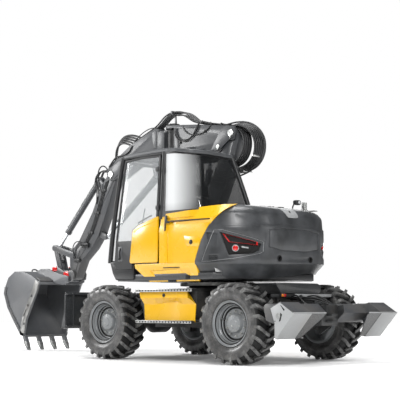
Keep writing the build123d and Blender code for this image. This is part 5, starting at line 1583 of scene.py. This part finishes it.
def buildBucket():
    b = bucket
    wear, worn, ribs, tips = [], [], [], []
    for way in (-1, 1):
        x = armX + way * b["half"]
        lo, hi = (x, x + 0.014) if way > 0 else (x - 0.014, x)
        band = strip(b["cutter"], -0.004, 0.110, lo, hi, 0.003)
        slot = sideProfile(((4.395, 0.60), (4.420, 0.615), (4.350, 0.745), (4.325, 0.730)), lo - 0.02,
                           hi + 0.02, 0.0)
        carve(band, slot)
        worn.append(band)
        for y, z in ((4.395, 0.480), (4.300, 0.800), (4.195, 0.965)):
            ribs.append(bolt(at(x + way * 0.014, y, z), (way, 0, 0), 0.017, 0.012))
        # heel wear plates on the cheek's rim
        wear.append(strip(b["outer"][5:11], 0.060, 0.0005, lo if way < 0 else x - 0.02,
                          hi if way > 0 else x + 0.02, 0.003))
    # wear runners round the bucket's back and the cutting lip
    for x in (-0.42, -0.14, 0.14, 0.42):
        runner = strip(b["outer"][4:10], 0.002, -0.010, armX + x - 0.030, armX + x + 0.030, 0.003)
        for vert in runner.data.vertices:
            vert.co.y = min(vert.co.y, 3.6680)
        ribs.append(runner)
    lip = sideProfile(((4.392, 0.246), (4.500, 0.278), (4.560, 0.345), (4.545, 0.352), (4.485, 0.297),
                       (4.405, 0.272)), armX - b["half"], armX + b["half"], 0.004)
    worn.append(lip)
    # teeth: forged tips over the adapters, pale from digging
    pitch = (2 * b["half"] - 0.090) / 3
    for i in range(4):
        x = armX - b["half"] + 0.045 + i * pitch
        tip = sideProfile(((4.345, 0.165), (4.432, 0.190), (4.402, 0.118), (4.322, 0.022), (4.296, 0.022),
                           (4.322, 0.110)), x - 0.040, x + 0.040, 0.007, 2)
        for vert in tip.data.vertices:
            if vert.co.z < 0.06:
                vert.co.x = x + (vert.co.x - x) * 0.62
        tips.append(tip)
    # lifting loop and the cross gusset over the shell
    ribs.append(slewHose([(armX - 0.07, 4.72, 1.385), (armX - 0.07, 4.75, 1.445), (armX + 0.07, 4.75, 1.445),
                          (armX + 0.07, 4.72, 1.385)], 0.013))
    ribs.append(sideProfile(((3.995, 1.210), (4.12, 1.275), (4.12, 1.300), (3.985, 1.235)),
                            armX - b["half"] + 0.01, armX + b["half"] - 0.01, 0.005))
    finish(wear + ribs, "bucketWearPlates", armPaint, "bucket")
    finish(worn, "bucketWornEdges", bareSteel, "bucket")
    finish(tips, "bucketToothTips", zincSteel, "bucket")

    # coupler: wedge lock with its rod, and the red safety marks
    lock = [slewBox(armX - 0.06, armX + 0.06, 3.80, 3.92, 1.27, 1.33, 0.010),
            rod(at(armX - 0.02, 3.78, 1.30), at(armX - 0.02, 3.84, 1.30), 0.022, sides=24)]
    marks = []
    for way in (-1, 1):
        x = armX + way * 0.148
        marks.append(sideProfile(((3.60, 1.27), (3.69, 1.25), (3.76, 1.30), (3.75, 1.37), (3.64, 1.385)),
                                 x - 0.008, x + 0.008, 0.002))
        marks.append(sideProfile(((3.93, 1.40), (4.05, 1.39), (4.06, 1.46), (3.95, 1.48)), x - 0.008,
                                 x + 0.008, 0.002))
    finish(marks, "couplerRedMarks", redLens, "bucket")
    finish(lock, "couplerLock", zincSteel, "bucket")


buildBucket()
print("bucket and coupler trim built")


# ---- under the turret: steps, toolboxes, mud guards, legs, rear cover and blade trim
under = {
    "stepOut": 1.170, "boxOut": 1.125, "boxIn": 0.700, "half": 0.560,
}


def buildSideUnit(way):
    u = under
    name = "Left" if way < 0 else "Right"
    node = "toolbox_left" if way < 0 else "toolbox_right"
    y0, y1 = slewY - u["half"], slewY + u["half"]
    lo = lambda a, b: (min(way * a, way * b), max(way * a, way * b))
    # black carcass behind the door, and the thick tread plates above and below it
    dark = [box(*lo(u["boxIn"], u["stepOut"] - 0.004), y0, y1, 1.004, 1.026, 0.004),
            box(*lo(u["stepOut"] - 0.240, u["stepOut"] - 0.004), y0 + 0.01, y1 - 0.01, 0.560, 0.580, 0.004),
            sideProfile([(-0.55, 1.008), (0.555, 1.008), (0.555, 0.900), (0.500, 0.60), (-0.50, 0.60),
                         (-0.55, 0.70)], *lo(u["boxIn"], u["boxOut"] - 0.075), 0.010)]
    for y in (-0.30, 0.30):
        dark.append(box(*lo(0.90, 1.03), slewY + y - 0.02, slewY + y + 0.02, 0.575, 0.62, 0.003))
    finish(dark, "stepsAndCarcass" + name, chassisPaint, "chassis", [node])
    # worn punched edges of both treads, with their rows of holes drawn as near-black discs of painted shade
    worn, holes = [], []
    for z, low, end in ((1.026, 0.985, 0.560), (0.580, 0.545, 0.550)):
        worn.append(slewBox(*lo(u["stepOut"] - 0.008, u["stepOut"] - 0.002), -end, end, low, z, 0.002))
        worn.append(slewBox(*lo(u["stepOut"] - 0.10, u["stepOut"] - 0.002), -end, end, z - 0.002, z + 0.003,
                            0.001))
        for i in range(19):
            y = slewY + (i - 9) * 0.058
            holes.append(lathe([(0.0, 0.0), (0.0, 0.013), (0.0015, 0.013), (0.0015, 0.0)],
                               (way * (u["stepOut"] - 0.0025), y, (low + z) / 2), (way, 0, 0), 12))
            for x in (0.030, 0.070):
                holes.append(lathe([(0.0, 0.0), (0.0, 0.014), (0.001, 0.014), (0.001, 0.0)],
                                   (way * (u["stepOut"] - x), y + (0.029 if x > 0.05 else 0), z + 0.003),
                                   (0, 0, 1), 12))
    finish(worn, "punchedTreads" + name, zincSteel, "chassis")
    finish(holes, "treadHoleShade" + name, darkInside, "chassis")
    # pressed yellow door: upright band, band that leans in beneath it, lower band that leans out, diagonal
    # pleats
    o = u["boxOut"]
    face = profile([(o, 0.988), (o, 0.900), (o - 0.052, 0.812), (o - 0.030, 0.560), (o - 0.046, 0.560),
                    (o - 0.068, 0.812), (o - 0.016, 0.896), (o - 0.016, 0.988)]
                   if way > 0 else
                   [(-o, 0.988), (-o, 0.900), (-o + 0.052, 0.812), (-o + 0.030, 0.560), (-o + 0.046, 0.560),
                    (-o + 0.068, 0.812), (-o + 0.016, 0.896), (-o + 0.016, 0.988)],
                   "y", slewY - 0.5, slewY + 0.5, 0.0)
    slices(face, "y", [slewY - 0.30, slewY - 0.18, slewY - 0.06, slewY + 0.20, slewY + 0.30])
    for vert in face.data.vertices:
        y, z = vert.co.y - slewY, vert.co.z
        front = 0.520 - 0.086 * min((0.988 - z) / 0.30, 1.0)
        back = -0.440 - 0.112 * min(max((0.90 - z) / 0.09, 0.0), 1.0)
        if y > 0.45:
            vert.co.y = slewY + front
        elif y < -0.45:
            vert.co.y = slewY + back
        elif abs(z - 0.812) < 0.01:
            # pleats: the fold line steps in two places
            vert.co.x -= way * (0.020 if -0.20 < y < 0.0 else -0.008 if y > 0.25 else 0.0)
            vert.co.z += 0.030 if -0.20 < y < 0.0 else 0.0
    softEdges(face, 0.004, 2)
    outward(face)
    smoothBy(face, 9)
    finish(face, "toolboxDoor" + name, yellowPaint, "chassis")
    x = way * o
    lock = [lathe([(0.0, 0.0), (0.0, 0.026), (0.006, 0.025), (0.007, 0.016), (0.003, 0.014), (0.003, 0.0)],
                  at(x, 0.02, 0.935), (way, 0, 0), 28),
            slewBox(*lo(o + 0.003, o + 0.012), 0.012, 0.028, 0.912, 0.948, 0.003)]
    finish(lock, "toolboxLock" + name, blackPlastic, "chassis")
    # mud guard plate over the inner half of the rear tyre, and its bracket
    arc = []
    for i in range(9):
        a = math.radians(38 + i * 8.5)
        arc.append((-axleReach + math.cos(a) * 0.590, 0.550 + math.sin(a) * 0.575))
    ring = arc + [(y - (y + axleReach) * 0.015, z - 0.010) for y, z in reversed(arc)]
    guards = [sideProfile([(y, min(z, 1.092)) for y, z in ring], *lo(0.66, 0.93), 0.0),
              box(*lo(0.60, 0.70), slewY - axleReach + 0.50, slewY - axleReach + 0.44, 0.82, 0.96, 0.004)]
    finish(guards, "mudGuards" + name, blackPlastic, "chassis")


def buildLegs():
    rear = -1.44        # back face of the chassis, from the slew axis
    for way, name in ((-1, "left"), (1, "right")):
        lo = lambda a, b: (min(way * a, way * b), max(way * a, way * b))
        back = lambda pts: [(slewY + rear - b, z) for b, z in pts]
        # the leg itself, its outer face set in a little for the cheek plate; it wears the paler arm grey as
        # painted light for the sheen along the beam's top
        leg = softCopy("stabiliser_" + name, 0.006)
        for vert in leg.data.vertices:
            if abs(vert.co.x) > 1.180:
                vert.co.x -= way * 0.012
        finish(leg, "legFrame_" + name, armPaint, name + "_leg", ["stabiliser_" + name])
        # pale sole on the sloping face, its bright lip, and the pale cheek
        sole = profile(back([(0.912, 0.690), (0.620, 0.358), (0.612, 0.362), (0.903, 0.699)]), "x",
                       *lo(0.804, 1.196), 0.002)
        cheek = profile(back([(0.534, 0.752), (0.687, 0.828), (0.908, 0.690), (0.620, 0.362), (0.600, 0.392),
                              (0.600, 0.565)]), "x", *lo(1.186, 1.193), 0.002)
        finish([sole, cheek], "legSole_" + name, palePaint, name + "_leg")
        lip = [box(*lo(0.500, 1.194), slewY + rear - 0.912, slewY + rear - 0.898, 0.690, 0.704, 0.003),
               rod((way * 1.19, slewY + rear - 0.690, 0.832), (way * 0.60, slewY + rear - 0.560, 0.812),
                   0.005, sides=8),
               lathe([(0.0, 0.0), (0.0, 0.010), (0.02, 0.008), (0.02, 0.0)],
                     (way * 0.67, slewY + rear - 0.630, 0.372), (0, -1, 0), 12)]
        finish(lip, "legBrightLips_" + name, palePaint, name + "_leg")
        # folded gusset between the foot and the beam, and the black end plate by the pivot
        gusset = profile([(way * 0.800, 0.695), (way * 0.495, 0.695), (way * 0.495, 0.655),
                          (way * 0.680, 0.372), (way * 0.800, 0.360)], "y", slewY + rear - 0.5,
                          slewY + rear - 0.49, 0.0)
        for vert in gusset.data.vertices:
            slope = 0.613 + (vert.co.z - 0.356) * 0.878
            vert.co.y = slewY + rear - slope + (vert.co.y - (slewY + rear - 0.5))
        outward(gusset)
        finish(gusset, "legGusset_" + name, darkPaint, name + "_leg")
        plate = profile(back([(0.700, 0.700), (0.690, 0.800), (0.450, 0.770), (0.300, 0.510), (0.272, 0.385),
                              (0.550, 0.550)]), "x", *lo(0.1865, 0.200), 0.002)
        finish(plate, "legEndPlate_" + name, blackPlastic, name + "_leg")
        pin = [lathe([(0.0, 0.0), (0.0, 0.040), (0.003, 0.038), (0.004, 0.016), (0.006, 0.014), (0.006, 0.0)],
                     (way * 1.1935, slewY + rear - 0.660, 0.655), (way, 0, 0), 28)]
        finish(pin, "legPins_" + name, zincSteel, name + "_leg")
        # near-black marks of painted shade in the cheek's slots
        marks = [profile(back([(0.694, 0.800), (0.712, 0.790), (0.770, 0.735), (0.752, 0.722)]), "x",
                         *lo(1.1925, 1.1945), 0.0),
                 profile(back([(0.700, 0.700), (0.722, 0.678), (0.700, 0.600), (0.672, 0.582),
                               (0.690, 0.640)]), "x", *lo(1.1925, 1.1965), 0.0),
                 box(*lo(1.1925, 1.1940), slewY + rear - 0.615, slewY + rear - 0.600, 0.585, 0.597, 0.0)]
        finish(marks, "legSlotShade_" + name, darkInside, name + "_leg")


def buildRear():
    # dark cover box with its sloping left end, pale lamp bar and amber lamp beneath, number plate field left
    # bare
    cover = profile([(-0.520, 1.100), (-0.300, 1.104), (0.420, 1.104), (0.500, 1.080), (0.500, 0.985),
                     (0.440, 0.955), (-0.410, 0.955), (-0.500, 1.060)], "y", slewY - 1.530, slewY - 1.000,
                     0.012, 2)
    webs = [slewBox(way * 0.265 - 0.025, way * 0.265 + 0.025, -1.38, -1.04, 0.905, 0.96, 0.006)
            for way in (-1, 1)]
    finish([cover] + webs, "rearCoverBox", darkPaint, "chassis", ["tail_cover"])
    bar = [slewBox(-0.09, 0.82, -1.520, -1.505, 0.914, 0.955, 0.003),
           slewBox(-0.60, 0.95, -1.504, -1.480, 0.900, 0.950, 0.003)]
    finish(bar.pop(0), "rearPaleBar", palePaint, "chassis")
    knobs = bar + [rod(at(x, -1.50, 0.915), at(x, -1.55, 0.915), 0.026, sides=16) for x in (0.02, 0.78)]
    finish(knobs, "rearBarKnobs", blackPlastic, "chassis")
    lamps, amber = [], []
    for x in (-0.36, 0.90):
        lamps.append(slewBox(x - 0.055, x + 0.055, -1.535, -1.480, 0.905, 0.958, 0.010, 2))
        amber.append(slewBox(x - 0.048, x - 0.004, -1.540, -1.532, 0.912, 0.950, 0.003))
    finish(lamps, "rearLampCases", blackPlastic, "chassis")
    finish(amber, "rearAmberLamps", orangeLens, "chassis")
    reds = [slewBox(x + 0.004, x + 0.048, -1.540, -1.532, 0.912, 0.950, 0.003) for x in (-0.36, 0.90)]
    finish(reds, "rearRedLamps", redLens, "chassis")
    # hydraulic hoses to the legs, valve block and the axle's brake lines
    lines = []
    for way in (-1, 1):
        for i in range(3):
            d = 0.030 * i
            lines.append(slewHose([(way * (0.10 + d), -1.42, 0.86), (way * (0.12 + d), -1.55, 0.88 + d),
                                   (way * (0.20 + d), -1.72, 0.86 + d), (way * (0.26 + d), -1.88, 0.79)],
                                   0.011, 5))
        lines.append(slewHose([(way * 0.30, -1.20, 0.74), (way * 0.45, -1.19, 0.70),
                               (way * 0.62, -1.20, 0.66)], 0.009, 5))
        lines.append(slewHose([(way * 0.30, 1.20, 0.74), (way * 0.45, 1.19, 0.70), (way * 0.58, 1.20, 0.66)],
                              0.009, 5))
    finish(lines, "chassisHoses", hoseRubber, "chassis")
    block = [slewBox(-0.13, 0.13, -1.435, -1.36, 0.82, 0.90, 0.006)]
    for i in range(5):
        block.append(rod(at(-0.10 + i * 0.05, -1.435, 0.86), at(-0.10 + i * 0.05, -1.465, 0.86), 0.014,
                         sides=6))
    finish(block, "legValveBlock", zincSteel, "chassis")
    # slew ring: bolt circle under the turret
    ring = [lathe([(1.080, 0.480), (1.080, 0.560), (1.125, 0.560), (1.125, 0.480)], (0, slewY, 0), (0, 0, 1),
                  72)]
    for i in range(36):
        a = i * math.tau / 36
        ring.append(bolt(at(0.525 * math.cos(a), 0.525 * math.sin(a), 1.124), (0, 0, 1), 0.013, 0.010))
    finish(ring, "slewRingBolts", bareSteel, "chassis")


def buildBlade():
    # stiffeners behind the blade, worn cutting edge and its bolts
    made, worn = [], []
    y = axleReach + 0.390 + 0.450
    for x in (-1.05, -0.75, -0.12, 0.12, 0.75, 1.05):
        made.append(profile([(slewY + y + 0.002, 0.99), (slewY + y - 0.045, 0.94), (slewY + y - 0.045, 0.50),
                             (slewY + y + 0.002, 0.46)], "x", x - 0.008, x + 0.008, 0.002))
    made.append(box(-1.18, 1.18, slewY + y - 0.040, slewY + y + 0.004, 0.955, 0.975, 0.004))
    made.append(box(-1.18, 1.18, slewY + y - 0.030, slewY + y + 0.004, 0.470, 0.490, 0.004))
    worn.append(box(-1.188, 1.188, slewY + y + 0.058, slewY + y + 0.097, 0.440, 0.462, 0.003))
    finish(made, "bladeStiffeners", darkPaint, "blade")
    for i in range(10):
        worn.append(bolt((-1.08 + i * 0.24, slewY + y + 0.085, 0.56), (0, 1, 0), 0.014, 0.010))
    finish(worn, "bladeWornEdge", bareSteel, "blade")


for way in (-1, 1):
    buildSideUnit(way)
buildLegs()
buildRear()
buildBlade()
print("undercarriage trim built")


# ---- right side of the turret: tank box, service door, grille and grab rail
def buildRightSide():
    low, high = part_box("right_body")
    face, deck = high[0], low[2]
    dark, seams, metal = [], [], []
    # service door outline and its two latches on the tank box
    y0, y1, z0, z1 = -0.14, 0.50, deck + 0.07, 1.600
    wide = 0.006
    for a, b, c, d in ((y0, y1, z0, z0 + wide), (y0, y1, z1 - wide, z1), (y0, y0 + wide, z0, z1),
                       (y1 - wide, y1, z0, z1)):
        seams.append(slewBox(face - 0.006, face - 0.0005, a, b, c, d, 0.0))
    for z in (deck + 0.16, 1.50):
        dark.append(lathe([(0.0, 0.0), (0.0, 0.022), (-0.002, 0.020), (-0.003, 0.0)],
                          at(face - 0.0005, -0.09, z), (-1, 0, 0), 24))
    # louvred grille in the outer wall: frame and slanted blades
    dark.append(slewBox(face - 0.010, face - 0.002, -1.02, -0.34, 1.330, 1.740, 0.004))
    for i in range(9):
        z = 1.365 + i * 0.043
        blade = profile([(face - 0.003, z), (face - 0.0005, z - 0.004), (face - 0.0005, z + 0.012),
                         (face - 0.004, z + 0.022)], "y", slewY - 1.00, slewY - 0.36, 0.0)
        metal.append(blade)
    # punched step plate on the tank box, and the fuel cap
    top = 1.700
    step = [slewBox(0.56, face - 0.05, -0.13, 0.50, top, top + 0.006, 0.002)]
    for i in range(8):
        for j in range(9):
            step.append(lathe([(0.0, 0.011), (0.0, 0.020), (0.004, 0.016), (0.004, 0.011)],
                              (0.60 + i * 0.070, slewY - 0.09 + j * 0.068, top + 0.006), (0, 0, 1), 10))
    finish(step, "tankStepPlate", darkPaint, "upper")
    cap = [lathe([(0.0, 0.0), (0.0, 0.055), (0.020, 0.055), (0.026, 0.048), (0.026, 0.0)],
                 at(0.70, 0.42, top + 0.006), (0, 0, 1), 36),
           slewBox(0.655, 0.745, 0.412, 0.428, top + 0.030, top + 0.044, 0.004)]
    finish(cap, "fuelCap", blackPlastic, "upper")
    # grab rail up the front corner, in round bar
    rail = [slewHose([(face - 0.07, 0.54, 1.38), (face - 0.07, 0.575, 1.40), (face - 0.07, 0.575, 1.60),
                      (face - 0.07, 0.56, 2.02), (face - 0.07, 0.42, 2.08), (face - 0.07, 0.06, 2.08),
                      (face - 0.07, -0.02, 2.02), (face - 0.07, -0.02, 1.71)], 0.014, 8),
            rod(at(face - 0.07, -0.02, top), at(face - 0.07, -0.02, top + 0.012), 0.030, sides=20),
            rod(at(face - 0.07, 0.56, 1.38), at(face - 0.07, 0.545, 1.38), 0.026, sides=20)]
    finish(rail, "grabRail", chassisPaint, "upper")
    # front work lamp let into the box, with its glass
    lampCase = slewBox(0.86, 1.06, 0.556, 0.566, 1.46, 1.58, 0.010, 2)
    finish(lampCase, "workLampCase", blackPlastic, "upper")
    finish(slewBox(0.875, 1.045, 0.562, 0.570, 1.473, 1.567, 0.006, 2), "workLampGlass", clearLens, "upper")
    finish(seams, "rightDoorSeams", darkInside, "upper")
    finish(dark, "rightGrilleFrame", blackPlastic, "upper")
    finish(metal, "rightGrilleBlades", greyPlastic, "upper")


def buildCabSill():
    # dark rail that closes the cab's foot behind the yellow skirt
    sill = profile([(0.86, 1.390), (0.84, 1.300), (0.62, 1.225), (0.20, 1.205), (0.20, 1.390)], "x", -1.060,
                   -0.880, 0.006)
    for vert in sill.data.vertices:
        vert.co.y += slewY
    finish(sill, "cabFootRail", cabPaint, "upper")


buildRightSide()
buildCabSill()
print("right side and cab foot built")


# ---- the remaining CAD parts: edges broken and painted
softened = [
    # finish, edge in metres, record slot, nodes
    (chassisPaint, 0.006, "black_paint", ("chassis_frame", "front_axle", "rear_axle")),
    (chassisPaint, 0.005, "black_paint", ("knuckle_left", "knuckle_right", "rear_bracket")),
    (darkPaint, 0.006, "anthracite_paint", ("upper_frame",)),
    (darkPaint, 0.010, "anthracite_paint", ("right_body",)),
    (chassisPaint, 0.002, "black_paint", ("hood_hinges",)),
    (greyPlastic, 0.010, "grey_paint", ("engine_block",)),
    (armPaint, 0.008, "anthracite_paint", ("boom_base", "boom_mid", "boom_offset", "stick")),
    (armPaint, 0.004, "anthracite_paint", ("bucket_rocker", "bucket_link")),
    (armPaint, 0.005, "anthracite_paint", ("quick_coupler",)),
    (bucketPaint, 0.004, "anthracite_paint", ("bucket",)),
    (darkPaint, 0.004, "anthracite_paint", ("blade",)),
    (chassisPaint, 0.004, "anthracite_paint", ("blade_arms",)),
    (chassisPaint, 0.003, "anthracite_paint", ("blade_links",)),
]
for ram in ("lift", "knee", "offset", "stick", "bucket", "blade"):
    softened += [(armPaint, 0.004, "anthracite_paint", (ram + "_cylinder",)),
                 (chrome, 0.002, "chromed_rod", (ram + "_rod",))]

bodyOf = {node: body for body, nodes in frame["record"]["behaviour"]["bodies"].items() for node in nodes}
for mat, edge, slot, nodes in softened:
    for node in nodes:
        finish(softCopy(node, edge), "soft_" + node, mat, bodyOf[node], [node])
for obj in parts.values():
    paint(obj, darkPaint)
print("CAD parts softened and painted")


# ---- stage, lamps and camera
stage = {
    "floorSize": 60.0,
    "floorShade": "f2f2f2",
    "worldLevel": 0.16,
    "glowNear": 0.10,
    "lens": 97.0,
    "eye": (-12.0, -12.086, 0.774),
    "yaw": 47.14,               # degrees from +Y towards +X
    "pitch": 5.66,
}


def layFloor():
    bpy.ops.mesh.primitive_plane_add(size=stage["floorSize"], location=(0, 0, 0))
    floor = bpy.context.object
    floor.name = "paleFloor"
    mat, tree, shader, place, _ = newFinish("paleStudioFloor")
    dress(tree, shader, {}, {"Base Color": tone(stage["floorShade"]), "Roughness": 0.9,
                             "Specular IOR Level": 0.1})
    paint(floor, mat)
    # painted light: seen directly it glows, faintly near the machine and up to white away from the shadow
    white = (1, 1, 1, 1)
    span = addNode(tree, "VectorMath", (place,), operation="LENGTH").outputs["Value"]
    level = addNode(tree, "MapRange", (span, 2.6, 6.0, stage["glowNear"], 1.0))
    glow = addNode(tree, "Emission", {"Color": white, "Strength": level})
    plain = addNode(tree, "Emission", {"Color": white, "Strength": 0.0})
    path = addNode(tree, "LightPath").outputs
    seen = addNode(tree, "Math", (path["Is Camera Ray"], path["Is Glossy Ray"]), operation="MAXIMUM")
    lift = addNode(tree, "MixShader", (seen, plain, glow))
    both = addNode(tree, "AddShader", (shader, lift))
    output = [n for n in tree.nodes if n.type == "OUTPUT_MATERIAL"][0]
    tree.links.new(both.outputs[0], output.inputs[0])


def lightStudio():
    world = bpy.data.worlds.new("paleStudio")
    bpy.context.scene.world = world
    world.use_nodes = True
    tree = world.node_tree
    tree.nodes.clear()
    path = addNode(tree, "LightPath").outputs
    seen = addNode(tree, "Math", (path["Is Camera Ray"], path["Is Transmission Ray"]), operation="MAXIMUM")
    level = addNode(tree, "MapRange", (seen, 0.0, 1.0, stage["worldLevel"], 1.0))
    back = addNode(tree, "Background", {"Color": (1, 1, 1, 1), "Strength": level})
    addNode(tree, "OutputWorld", (back,))
    # broad softboxes: key over the camera's left shoulder, a fill, a top box and a rim box behind
    lamps = (
        ("keyBox", (-9.0, -9.5, 8.5), (0.0, -0.8, 1.2), 4.0, 1250),
        ("fillBox", (4.5, -12.0, 4.5), (0.0, -1.2, 1.2), 3.5, 150),
        ("topBox", (0.0, -0.5, 9.5), (0.0, -0.5, 1.0), 4.5, 620),
        ("rimBox", (-6.5, 8.5, 5.5), (0.0, 0.5, 1.6), 4.0, 800),
        ("farBox", (8.5, 5.0, 5.5), (0.0, 0.0, 1.2), 4.5, 260),
    )
    for name, place, aim, size, power in lamps:
        bpy.ops.object.light_add(type="AREA", location=place)
        lamp = bpy.context.object
        lamp.name = name
        lamp.data.shape = "SQUARE"
        lamp.data.size = size
        lamp.data.energy = power
        lamp.rotation_euler = (Vector(aim) - Vector(place)).to_track_quat("-Z", "Y").to_euler()


def setCamera():
    bpy.ops.object.camera_add(location=stage["eye"])
    camera = bpy.context.object
    camera.name = "viewCamera"
    camera.data.lens = stage["lens"]
    camera.data.clip_end = 200
    camera.rotation_euler = (math.radians(90 + stage["pitch"]), 0, math.radians(-stage["yaw"]))
    bpy.context.scene.camera = camera
    bpy.context.scene.view_settings.view_transform = "Standard"


layFloor()
lightStudio()
setCamera()
print("stage, lamps and camera set")

bareNodes = [name for name, obj in parts.items() if not obj.hide_render]
print("CAD parts shown as they are:", sorted(bareNodes))
